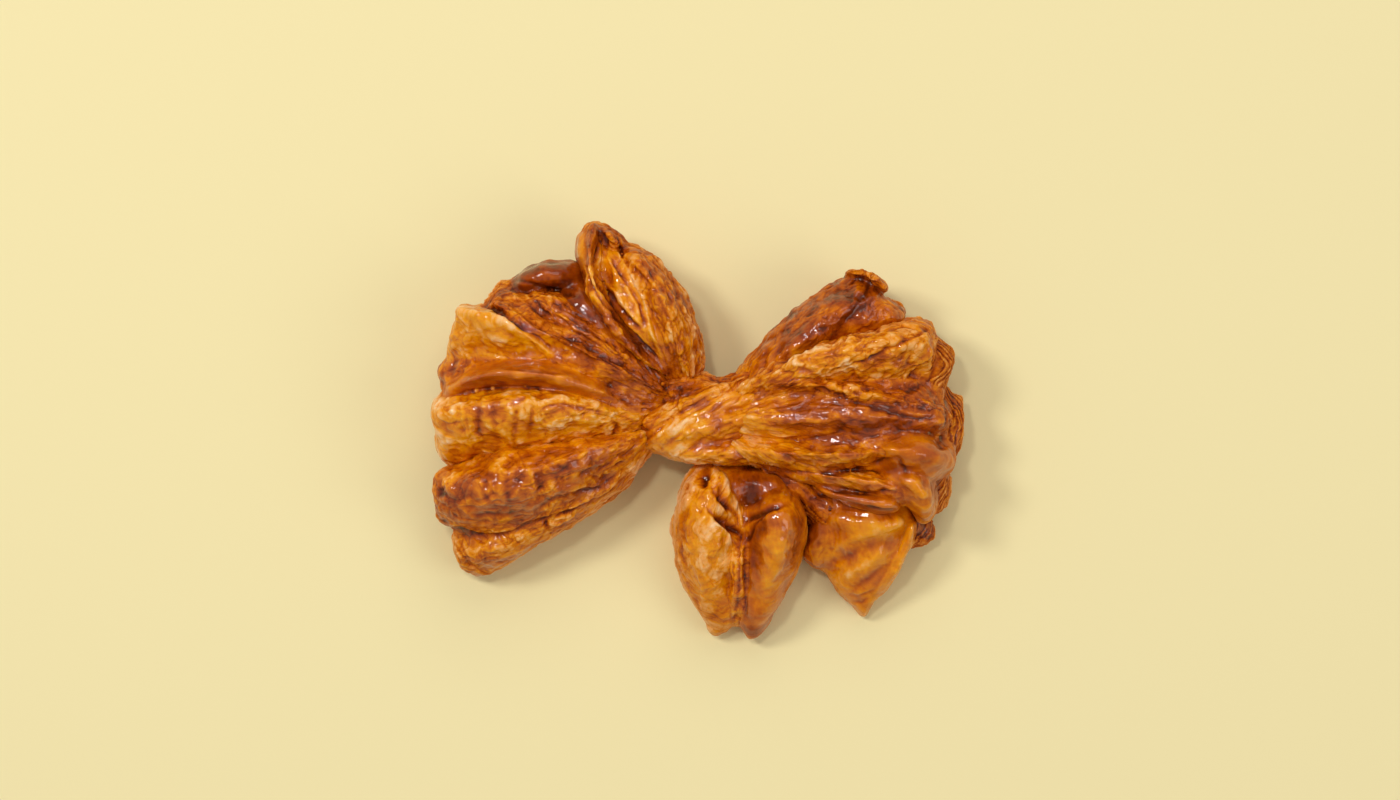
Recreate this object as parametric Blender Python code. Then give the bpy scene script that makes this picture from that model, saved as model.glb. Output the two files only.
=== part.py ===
"""Bow-tie croissant: two fans of puffed, caramelised pleats, joined by a twisted waist.

One solid, in metres, +Z up. The origin is on the table, under the middle of the pastry.
Each pleat is a rounded loft between three stations: its root in the waist, its belly and its end.
"""

from dataclasses import dataclass

import bmesh
import bpy
import numpy as np
from mathutils import Vector, noise

# Driving dimensions. The pleats below are drawn in millimetres on a bow of DRAWN_LENGTH.
LENGTH = 0.1617
DRAWN_LENGTH = 161.7
SCALE = LENGTH / DRAWN_LENGTH

AROUND = 40  # sides of a pleat's section
ALONG = 48  # rings of a pleat
CURVE_STEPS = 600  # steps that the rings are spaced with
WIDEST = 0.42  # share of a pleat's height, from its underside, at which it is widest
LEAST_HALF = 0.4  # least half width of a pleat, drawn
ROUND_BACK = np.array((2.0, 0.5))  # powers of a round back, near its crest and near its edges
SHARP_BACK = np.array((1.2, 0.9))  # the same of a sharply creased back
BELLY_POWER = 0.8  # roundness of a pleat's underside
SKIN = 0.001  # grid that the pleats are fused on
SOFTENING = 0.5  # share of the way that each softening pass moves the fused skin
SOFTENING_PASSES = 6
FACES = 8400  # triangles of the finished skin
PUFFS = ((0.021, 0.0013), (0.0105, 0.0008), (0.0055, 0.0004))  # size and height of the bulges
FLOOR_CUT = 0.0007  # height of the flat face it rests on
CUT_TOLERANCE = 1e-6
CRUST_COLOUR = (0.42, 0.13, 0.02)
CRUST_ROUGHNESS = 0.35


@dataclass
class Pleat:
    """One puffed fold. Triples are values at its root, belly and end, in drawn millimetres."""

    path: tuple  # three (x, y) points of its middle line
    half: tuple  # half widths
    crest: tuple  # heights of its crest above the table
    under: tuple  # heights of its underside above the table
    ridge: float = 0.0  # where the crest lies, from -1 (right edge, seen from the root) to 1 (left)
    fold: float = 0.3  # 0 is a round back, 1 is a sharp crease
    tip: float = 0.4  # 0.15 is a blunt end, 1 is an oval one, 1.6 is a point


LEFT_FAN = {
    "leaf_back": Pleat(
        ((-3.6, 14), (-11, 37), (-22.6, 55.2)), (6, 7.5, 4.6),
        (28, 40, 33), (6, 4, 12), tip=0.5,
    ),
    "leaf_rim": Pleat(
        ((-6, 14), (-27.5, 33.5), (-33, 60)), (2.6, 3, 3.2),
        (28, 41, 37), (8, 8, 14), fold=0.6,
    ),
    "leaf_floor": Pleat(
        ((-4, 15), (-19.5, 36), (-29.5, 57)), (6, 8, 3.4),
        (27, 37.5, 31), (6, 5, 14), tip=0.6,
    ),
    "leaf_tip": Pleat(
        ((-31, 60.6), (-26.8, 58), (-22.6, 54)), (1.5, 2.6, 2),
        (31, 34, 30), (16, 14, 14), tip=0.6,
    ),
    "leaf_peak": Pleat(
        ((-33, 52), (-33, 58), (-31.3, 63)), (3, 2.4, 0.9),
        (38, 36, 31), (14, 14, 20), fold=0.5,
    ),
    "leaf_wall": Pleat(
        ((-34, 47), (-35.6, 53.5), (-35.1, 59.2)), (1.5, 2, 1.5),
        (30, 32, 29), (12, 12, 14), tip=0.3,
    ),
    "dark_roll": Pleat(
        ((-6, 13), (-28, 31), (-41, 43.5)), (4, 7.5, 7),
        (26, 36, 29), (6, 4, 6), tip=0.5,
    ),
    "roll_top": Pleat(
        ((-35, 45.4), (-45, 46.6), (-56, 42.6)), (5, 4.6, 3.2),
        (28, 31, 29), (6, 6, 8), fold=0.1,
    ),
    "flaky_mound": Pleat(
        ((-8, 13), (-32, 29), (-52, 41.5)), (3, 5, 4.5),
        (29, 39.5, 33), (8, 6, 8), 0.2, 0.4, 0.4,
    ),
    "flaky_ridge": Pleat(
        ((-6, 11), (-36, 26), (-62.4, 41.2)), (4, 4.6, 6.8),
        (28, 43, 35), (8, 5, 5), 0.4, 0.8, 0.25,
    ),
    "shiny_flap": Pleat(
        ((-38, 21), (-55, 25), (-75.3, 29.4)), (4, 7.5, 10.5),
        (36, 43, 37), (8, 6, 6), -0.8, 0.6, 0.2,
    ),
    "middle_flap": Pleat(
        ((-16, 9), (-30, 17), (-47, 20.5)), (4, 6, 5),
        (32, 40, 39), (8, 6, 6), -0.5, 0.4, 0.5,
    ),
    "low_corner": Pleat(
        ((-55, 17), (-67, 17.6), (-78.6, 15.2)), (5, 7, 4.5),
        (34, 33, 25), (6, 6, 8), tip=0.3,
    ),
    "smooth_band": Pleat(
        ((-18, 6), (-50, 17), (-76, 11.5)), (2.5, 3.5, 3),
        (34, 46, 38), (20, 20, 20), fold=0.2, tip=0.5,
    ),
    "broad_panel": Pleat(
        ((-18, 1), (-48, 3), (-79.8, -1)), (4, 11.3, 11),
        (32, 45, 37), (8, 4, 6), -0.5, 0.35, 0.2,
    ),
    "lower_panel": Pleat(
        ((-16, -1), (-47, -14), (-80.2, -20.4)), (4, 10, 9.6),
        (30, 42, 33), (10, 12, 9), -0.3, 0.3, 0.35,
    ),
    "under_wedge": Pleat(
        ((-13, -2), (-43.6, -23.9), (-75.2, -37.2)), (1.5, 7.2, 7.2),
        (24, 27, 20), (4, 0, 0), 0.3, 0.4, 0.28,
    ),
    "wedge_corner": Pleat(
        ((-50, -30), (-62, -37.8), (-69.6, -42.9)), (4, 4.2, 1.8),
        (25, 19, 10), (4, 2, 2), 0.2, 0.2, 0.3,
    ),
    "wedge_gap": Pleat(
        ((-34, -18.5), (-54, -26.5), (-75, -29.8)), (2, 3.4, 3.4),
        (24, 28, 21), (6, 4, 4),
    ),
    "panel_gap": Pleat(
        ((-18, -2), (-44, -6.5), (-70, -9.5)), (3, 4.5, 4),
        (29, 39, 31), (10, 12, 12), fold=0.1,
    ),
    "left_filling": Pleat(
        ((-8, 5), (-42, 13), (-72, 8)), (8, 19, 22),
        (26, 37.5, 31), (6, 5, 6), tip=0.4,
    ),
    "left_sole": Pleat(
        ((-10, 4), (-42, 8), (-72, 4)), (7, 19, 22),
        (13, 15, 13), (-4, -7, -5), tip=0.4,
    ),
}

RIGHT_FAN = {
    "back_lobe": Pleat(
        ((8.5, 8.5), (32, 27.3), (54, 41.5)), (4, 9, 9.5),
        (26, 37, 33), (6, 4, 7), tip=0.4,
    ),
    "back_end": Pleat(
        ((38, 28), (51, 33), (61.4, 33.4)), (6, 7.5, 3.4),
        (33, 35, 30), (6, 5, 7), tip=0.4,
    ),
    "curl": Pleat(
        ((43.5, 47.4), (50.2, 46.8), (56, 42.4)), (1.1, 1.2, 1),
        (33, 35, 32.5), (16, 16, 16), tip=0.4,
    ),
    "crest_lobe": Pleat(
        ((6, 8), (38, 19.5), (70.4, 24.2)), (4, 8, 10),
        (27, 46, 42), (8, 5, 8), 0.4, 0.3, 0.2,
    ),
    "layer_edges": Pleat(
        ((56, 20), (65, 20), (74.2, 17)), (8, 9.5, 7.6),
        (36, 35, 30), (6, 5, 8), tip=0.2,
    ),
    "right_filling": Pleat(
        ((4, 4), (38, 8), (72, 8)), (8, 16, 15),
        (25, 39, 34.5), (6, 4, 6), tip=0.4,
    ),
    "right_sole": Pleat(
        ((6, 3), (38, 6), (70, 2)), (7, 18, 21),
        (13, 15, 13), (-4, -7, -5), tip=0.4,
    ),
    "s_ridge": Pleat(
        ((16, 15), (42, 12.5), (74, 5.5)), (1.6, 2.4, 2.4),
        (36, 43, 36), (20, 20, 16), fold=0.4,
    ),
    "red_panel": Pleat(
        ((-2, 2), (36, 4), (75, 3)), (6, 7.4, 6),
        (27, 42, 35), (8, 5, 8), fold=0.2, tip=0.3,
    ),
    "side_layers": Pleat(
        ((58, 3.5), (69, 2), (79.8, 0.4)), (9, 11, 10),
        (30, 28, 22), (6, 3, 6), tip=0.3,
    ),
    "front_lobe": Pleat(
        ((-4, -4), (31, -7.5), (60, -6)), (4, 5.4, 5),
        (26, 41, 42), (8, 5, 8), 0.1, 0.5, 0.5,
    ),
    "fist_gap": Pleat(
        ((28, -2.4), (47, -1.6), (66, -2)), (2.4, 3.2, 3),
        (34, 39.5, 37), (10, 10, 10),
    ),
    "end_fist": Pleat(
        ((48, -6), (62, -7), (76.8, -11)), (5, 7.8, 5),
        (38, 44, 32), (8, 8, 10), 0.1, 0.3, 0.35,
    ),
    "lip": Pleat(
        ((24, -13), (45, -15), (64, -19.5)), (2.5, 3.6, 4),
        (31, 38, 36), (10, 8, 8), 0.2, 0.5, 0.5,
    ),
    "dark_tube": Pleat(
        ((35, -17), (47, -20.8), (59, -22.2)), (2, 2.5, 2),
        (32, 35, 35), (20, 22, 22), tip=0.5,
    ),
    "cheek": Pleat(
        ((54, -12), (65, -17.5), (67.5, -28)), (5, 6, 2.6),
        (37, 39, 29), (6, 4, 6), tip=0.5,
    ),
    "low_edge": Pleat(
        ((65, -10), (72.6, -15.5), (71.4, -25)), (4, 3.8, 2.6),
        (28, 26, 20), (4, 3, 4), tip=0.4,
    ),
    "flap": Pleat(
        ((46, -6), (48.1, -30), (49.7, -57)), (15, 16.8, 0.9),
        (23, 25, 8), (4, 2, 0), 0.5, 0.2, 0.3,
    ),
    "flap_corner": Pleat(
        ((37, -26), (34.9, -34.5), (36.6, -42)), (3, 4.4, 1.6),
        (22, 20, 15), (4, 2, 2), tip=0.3,
    ),
    "flap_fold": Pleat(
        ((34, -24), (48, -27), (62, -27.5)), (4, 5, 3.4),
        (23, 26.5, 27), (6, 4, 8), 0, 0.1, 0.5,
    ),
    "flap_hem": Pleat(
        ((64, -27.5), (61.2, -38.2), (53.8, -51)), (1.2, 1.5, 1.2),
        (26, 20.5, 11), (12, 6, 2), fold=0.1,
    ),
    "back_layers": Pleat(
        ((52, -20), (62, -27.8), (71, -31)), (6, 7.5, 3.4),
        (20, 18, 12), (2, 0, 3), tip=0.4,
    ),
    "left_petal": Pleat(
        ((4.5, -9), (1.7, -33.5), (5.3, -61.8)), (6, 10.4, 1.3),
        (25, 32, 9), (2, 0, 2), 0.1, 0.1, 0.4,
    ),
    "right_petal": Pleat(
        ((22.5, -18), (22.2, -33.4), (15.2, -64)), (6, 9.6, 1.1),
        (26, 36, 9), (2, 0, 2), 0.1, 0.1, 0.4,
    ),
    "left_petal_tip": Pleat(
        ((2.5, -46), (5.6, -54.5), (5.8, -61)), (4, 5.8, 2.2),
        (22, 17, 9), (2, 2, 2),
    ),
    "right_petal_tip": Pleat(
        ((18, -47), (16.8, -55.5), (15.4, -63)), (4.6, 5.2, 1.4),
        (24, 18, 9), (2, 2, 2),
    ),
    "petal_crumb": Pleat(
        ((12, -22), (12, -42), (10.4, -59)), (5, 4.2, 2.2),
        (24, 27, 9), (2, 0, 2),
    ),
    "pocket_floor": Pleat(
        ((0, -12), (12, -17), (26, -15)), (4, 8, 5),
        (23, 25, 26), (4, 3, 4),
    ),
}

WAIST = {
    "upper_strand": Pleat(
        ((-16, 13), (-2, 14.8), (9.2, 12.4)), (2.5, 2.8, 1.8),
        (30, 28, 23), (12, 10, 10), fold=0.5,
    ),
    "brown_strand": Pleat(
        ((-14, 9.5), (-1, 11.8), (9, 11.5)), (1.8, 2, 1.6),
        (29, 31, 29), (12, 12, 12), fold=0.4,
    ),
    "top_strand": Pleat(
        ((-21, -1), (-4, 7.5), (20, 18)), (3, 3.8, 3),
        (27, 33, 31), (8, 6, 8), 0.3, 0.2, 0.6,
    ),
    "main_strand": Pleat(
        ((-20, -5), (-1, 4.5), (28, 15)), (3, 4.6, 3.6),
        (26, 34, 33), (8, 6, 8), -0.2, 0.2, 0.6,
    ),
    "golden_strand": Pleat(
        ((-15, -6), (4, 0.5), (34, 5)), (2.8, 5, 4),
        (26, 35.5, 32.5), (8, 6, 8), 0.3, 0.1, 0.6,
    ),
    "low_strand": Pleat(
        ((-13, -5), (3, -6.2), (28, -7)), (3, 4.8, 3.4),
        (25, 32, 31.5), (8, 4, 6), 0, 0.1, 0.6,
    ),
    "core": Pleat(
        ((-24, 5), (-3, 3), (18, 2)), (7, 8, 8),
        (27, 27, 27), (3, 3, 3), fold=0.1,
    ),
}


# The rounded feet of each fan: where they start, in the waist, and what they point to.
LEFT_ROOT = (-8, 6)
RIGHT_ROOT = (6, 2)
LEFT_FEET = ((-28, 54), (-56, 42), (-77, 23), (-80, 0), (-78, -24))
RIGHT_FEET = ((50, 42), (72, 21), (79, 2), (70, -21), (52, -34))
FOOT_BELLY = 0.55  # share of the way to those points
FOOT_REACH = 0.95  # share of the way to those points
FOOT_HALF = (4, 8.4, 9.4)
FOOT_CREST = (20, 25, 20)
FOOT_UNDER = (2, -2, -1)


def feet(fan_root, ends):
    """The lower row of pleats that a fan stands on, one towards each end point."""
    row = {}
    for number, end in enumerate(ends):
        start, stop = Vector(fan_root), Vector(end)
        path = (tuple(start), tuple(start.lerp(stop, FOOT_BELLY)), tuple(start.lerp(stop, FOOT_REACH)))
        row[f"foot_{number}"] = Pleat(path, FOOT_HALF, FOOT_CREST, FOOT_UNDER, fold=0.2, tip=0.3)
    return row


def through(triple, t):
    """The parabola through three values at 0, 0.5 and 1."""
    first, middle, last = (np.asarray(value, float) for value in triple)
    t = np.asarray(t)[:, None] if first.ndim else np.asarray(t)
    return first * (1 - t) * (1 - 2 * t) + middle * 4 * t * (1 - t) + last * t * (2 * t - 1)


def even_steps(x, y, count):
    """Parameters that split a curve into steps of equal length."""
    length = np.concatenate([[0], np.cumsum(np.hypot(np.diff(x), np.diff(y)))])
    return np.interp(np.linspace(0, length[-1], count), length, np.linspace(0, 1, len(x)))


def rings(pleat, count):
    """Place along the pleat, and share of the full section, of each ring from pole to pole."""
    fine = np.linspace(0, 1, CURVE_STEPS)
    along = -np.sign(np.cos(fine * np.pi)) * np.abs(np.cos(fine * np.pi)) ** pleat.tip
    swell = np.sin(fine * np.pi) ** pleat.tip
    reach = np.ptp(np.asarray(pleat.path), axis=0).max() / 2
    steps = even_steps(along * reach, swell * max(pleat.half), count)
    place = np.interp(steps, fine, (along + 1) / 2)
    return place, np.interp(steps, fine, swell)


def section(pleat, count):
    """Sideways share, share of the crest and share of the depth, round one section."""
    turn = np.linspace(0, 2 * np.pi, count, endpoint=False)
    side = np.cos(turn)
    left_wing = (side - pleat.ridge) / (1 - pleat.ridge)
    right_wing = (pleat.ridge - side) / (1 + pleat.ridge)
    wing = np.clip(np.maximum(left_wing, right_wing), 0, 1)
    crest_power, edge_power = ROUND_BACK + pleat.fold * (SHARP_BACK - ROUND_BACK)
    up = np.where(np.sin(turn) >= 0, (1 - wing**crest_power) ** edge_power, 0)
    down = np.where(np.sin(turn) < 0, np.abs(np.sin(turn)) ** BELLY_POWER, 0)
    return side, up, down


def shape_pleat(pleat, count_along, count_around):
    """Points of one pleat, ring by ring, in metres."""
    place, swell = rings(pleat, count_along)
    middle = through(pleat.path, place)
    heading = np.gradient(middle, axis=0) + 1e-9
    heading /= np.linalg.norm(heading, axis=1)[:, None]
    left = np.stack([-heading[:, 1], heading[:, 0]], axis=1)
    half = np.maximum(through(pleat.half, place), LEAST_HALF) * swell
    crest, under = through(pleat.crest, place), through(pleat.under, place)
    level = under + WIDEST * (crest - under)
    side, up, down = section(pleat, count_around)
    flat = middle[:, None, :] + left[:, None, :] * (half[:, None] * side)[..., None]
    height = level[:, None] + swell[:, None] * (
        (crest - level)[:, None] * up - (level - under)[:, None] * down
    )
    return np.concatenate([flat, height[..., None]], axis=2) * SCALE


def unit_ball():
    """A ball with its poles up and down, and the ring and spoke that each of its points lies on."""
    ball = bmesh.new()
    bmesh.ops.create_uvsphere(ball, u_segments=AROUND, v_segments=ALONG, radius=1)
    spots = np.array([vertex.co for vertex in ball.verts])
    mesh = bpy.data.meshes.new("ball")
    ball.to_mesh(mesh)
    ball.free()
    ring = np.rint(np.arccos(np.clip(-spots[:, 2], -1, 1)) / np.pi * ALONG).astype(int)
    spoke = np.rint(np.arctan2(spots[:, 1], spots[:, 0]) / (2 * np.pi) * AROUND).astype(int) % AROUND
    return mesh, ring, spoke


def add_pleats(skin, pleats):
    """Adds each pleat to the skin: a ball whose rings are moved onto the pleat's sections."""
    mesh, ring, spoke = unit_ball()
    for pleat in pleats:
        points = shape_pleat(pleat, ALONG + 1, AROUND)[ring, spoke]
        mesh.vertices.foreach_set("co", points.astype(np.float32).ravel())
        skin.from_mesh(mesh)


def all_pleats():
    """Every pleat of the bow, with the lower rows that the fans stand on."""
    left_feet = feet(LEFT_ROOT, LEFT_FEET)
    right_feet = feet(RIGHT_ROOT, RIGHT_FEET)
    groups = (LEFT_FAN, left_feet, RIGHT_FAN, right_feet, WAIST)
    return [pleat for group in groups for pleat in group.values()]


def clear_scene():
    for old in list(bpy.data.objects):
        bpy.data.objects.remove(old)


def crust_material():
    material = bpy.data.materials.new("caramel_crust")
    material.use_nodes = True
    shader = material.node_tree.nodes["Principled BSDF"]
    shader.inputs["Base Color"].default_value = (*CRUST_COLOUR, 1)
    shader.inputs["Roughness"].default_value = CRUST_ROUGHNESS
    shader.inputs["Metallic"].default_value = 0
    return material


def evaluated_mesh(obj):
    """The object's mesh with its modifiers applied."""
    graph = bpy.context.evaluated_depsgraph_get()
    return bpy.data.meshes.new_from_object(obj.evaluated_get(graph))


def puff(mesh):
    """Pushes the crust in and out along its normals, in bulges of a few sizes."""
    spots = [vertex.co.copy() for vertex in mesh.vertices]
    normals = [vertex.normal.copy() for vertex in mesh.vertices]
    for vertex, spot, normal in zip(mesh.vertices, spots, normals):
        push = sum(noise.noise(spot / size) * height for size, height in PUFFS)
        vertex.co = spot + normal * push


def stand_flat(mesh):
    """Cuts the underside level with the table and centres the pastry over the origin."""
    shell = bmesh.new()
    shell.from_mesh(mesh)
    everything = shell.verts[:] + shell.edges[:] + shell.faces[:]
    table = (0, 0, FLOOR_CUT)
    bmesh.ops.bisect_plane(
        shell, geom=everything, dist=CUT_TOLERANCE, plane_co=table, plane_no=(0, 0, 1),
        clear_inner=True,
    )
    rims = [edge for edge in shell.edges if edge.is_boundary]
    bmesh.ops.triangle_fill(shell, edges=rims, use_beauty=True, normal=(0, 0, -1))
    bmesh.ops.triangulate(shell, faces=shell.faces[:])
    bmesh.ops.recalc_face_normals(shell, faces=shell.faces[:])
    spots = np.array([vertex.co for vertex in shell.verts])
    low, high = spots.min(axis=0), spots.max(axis=0)
    centre = Vector(((low[0] + high[0]) / 2, (low[1] + high[1]) / 2, low[2]))
    bmesh.ops.translate(shell, verts=shell.verts[:], vec=-centre)
    shell.to_mesh(mesh)
    shell.free()


def build():
    clear_scene()
    skin = bmesh.new()
    add_pleats(skin, all_pleats())
    bmesh.ops.recalc_face_normals(skin, faces=skin.faces[:])
    mesh = bpy.data.meshes.new("pleats")
    skin.to_mesh(mesh)
    skin.free()
    pastry = bpy.data.objects.new("croissant", mesh)
    bpy.context.scene.collection.objects.link(pastry)
    fuse = pastry.modifiers.new("fuse", "REMESH")
    fuse.mode = "VOXEL"
    fuse.voxel_size = SKIN
    soften = pastry.modifiers.new("soften", "SMOOTH")
    soften.factor = SOFTENING
    soften.iterations = SOFTENING_PASSES
    fused = evaluated_mesh(pastry)
    pastry.modifiers.clear()
    pastry.data = fused
    puff(fused)
    triangles = len(fused.polygons) * 2
    thin = pastry.modifiers.new("thin", "DECIMATE")
    thin.ratio = FACES / triangles
    thin.use_collapse_triangulate = True
    pastry.data = evaluated_mesh(pastry)
    pastry.modifiers.clear()
    stand_flat(pastry.data)
    pastry.data.materials.clear()
    pastry.data.materials.append(crust_material())
    pastry.data.shade_smooth()


build()
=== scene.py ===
"""Caramel croissant: a bow of puffed, glazed pleats with its crust, glaze, floor and light.

The tables are drawn in millimetres, on the same bow as the CAD model. Everything that leaves a
class is in metres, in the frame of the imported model.
"""

import logging
from collections.abc import Callable
from dataclasses import dataclass, field
from enum import Enum

import bmesh
import bpy
import numpy as np
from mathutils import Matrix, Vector, noise


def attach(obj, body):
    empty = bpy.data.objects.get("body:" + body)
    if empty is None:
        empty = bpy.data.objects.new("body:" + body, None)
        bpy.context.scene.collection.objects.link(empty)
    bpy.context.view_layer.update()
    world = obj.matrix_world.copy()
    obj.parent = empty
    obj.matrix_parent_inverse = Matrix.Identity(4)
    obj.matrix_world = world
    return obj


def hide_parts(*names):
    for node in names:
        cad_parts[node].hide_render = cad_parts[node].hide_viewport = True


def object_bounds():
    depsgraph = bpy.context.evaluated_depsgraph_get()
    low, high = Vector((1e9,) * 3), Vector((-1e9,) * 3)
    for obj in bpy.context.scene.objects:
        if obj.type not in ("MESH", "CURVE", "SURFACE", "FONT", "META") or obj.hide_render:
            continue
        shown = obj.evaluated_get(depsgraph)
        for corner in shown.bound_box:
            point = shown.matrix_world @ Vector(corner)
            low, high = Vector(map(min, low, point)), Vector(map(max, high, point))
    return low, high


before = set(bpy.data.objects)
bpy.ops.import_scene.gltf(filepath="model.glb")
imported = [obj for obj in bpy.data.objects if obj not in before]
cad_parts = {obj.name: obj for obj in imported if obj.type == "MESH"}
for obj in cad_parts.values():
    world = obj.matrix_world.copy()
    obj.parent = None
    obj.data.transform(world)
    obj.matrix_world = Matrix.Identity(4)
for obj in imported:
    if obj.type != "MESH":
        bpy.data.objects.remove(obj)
CAD_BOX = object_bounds()

NODE = "croissant"
BODY = "root"
MM = 0.001
DRAWN_MIDDLE = (-0.53, -0.29)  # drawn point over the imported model's origin, in millimetres
SOFT_EDGE = 0.0015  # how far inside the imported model's box the crust starts to yield
FLOOR_CUT = 0.7  # drawn height of the flat face it rests on, in millimetres

AROUND = 48  # sides of a pleat's section
ALONG = 64  # rings of a pleat
CURVE_STEPS = 600  # steps that the rings are spaced with
STATIONS = 33  # places along a pleat that points are measured from
WIDEST = 0.42  # share of a pleat's height, from its underside, at which it is widest
LEAST_HALF = 0.4  # least half width of a pleat, in millimetres
FAR = 30.0  # distance that counts as out of reach, in millimetres
NEAR = 3.0  # how far from a pleat's box its points are surveyed, in millimetres
GRAIN = 0.4  # size of the mesh of the crust, in millimetres
MOST_TRIANGLES = 190_000  # of one piece
PUFFS = ((21.0, 1.3), (10.5, 0.8), (5.5, 0.4))  # size and height of the broad bulges

log = logging.getLogger("croissant")

Points = np.ndarray
Triple = tuple[float, float, float]
Quad = tuple[float, float, float, float]
Spot = tuple[float, float]
Range = tuple[float, float]
Colours = tuple[tuple[float, str], ...]


@dataclass(frozen=True)
class Skin:
    """How a pleat's crust is worked. Heights are in drawn millimetres."""

    films: float  # edges of thin sheets that lie over one another
    leaves: float  # torn edges of dough layers that run along the pleat
    wrinkles: float  # thin folds along the pleat
    cross: float  # thin folds across the pleat
    crumple: float  # flat facets with sharp folds between them
    strata: float  # level layers, as an open end shows them
    blobs: float  # soft bubbles under the film
    shine: float  # 0 is dry flakes, 1 is poured caramel


class Crust(Enum):
    """The crusts that a pleat can have."""

    GLAZED = Skin(0.24, 0.04, 0.16, 0.06, 0.36, 0.0, 0.50, 0.85)
    SMOOTH = Skin(0.06, 0.00, 0.08, 0.02, 0.14, 0.0, 0.30, 1.0)
    SHEET = Skin(0.06, 0.00, 0.18, 0.00, 0.16, 0.0, 0.32, 0.85)
    PETAL = Skin(0.22, 0.02, 0.10, 0.00, 0.30, 0.0, 0.45, 0.5)
    FLAKY = Skin(0.36, 0.24, 0.26, 0.05, 0.36, 0.0, 0.40, 0.55)
    SCALY = Skin(0.42, 0.08, 0.18, 0.12, 0.50, 0.0, 0.60, 0.55)
    WRINKLED = Skin(0.24, 0.02, 0.10, 0.26, 0.40, 0.0, 0.65, 0.8)
    TORN = Skin(0.30, 0.06, 0.16, 0.05, 0.30, 0.5, 0.30, 0.4)


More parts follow.
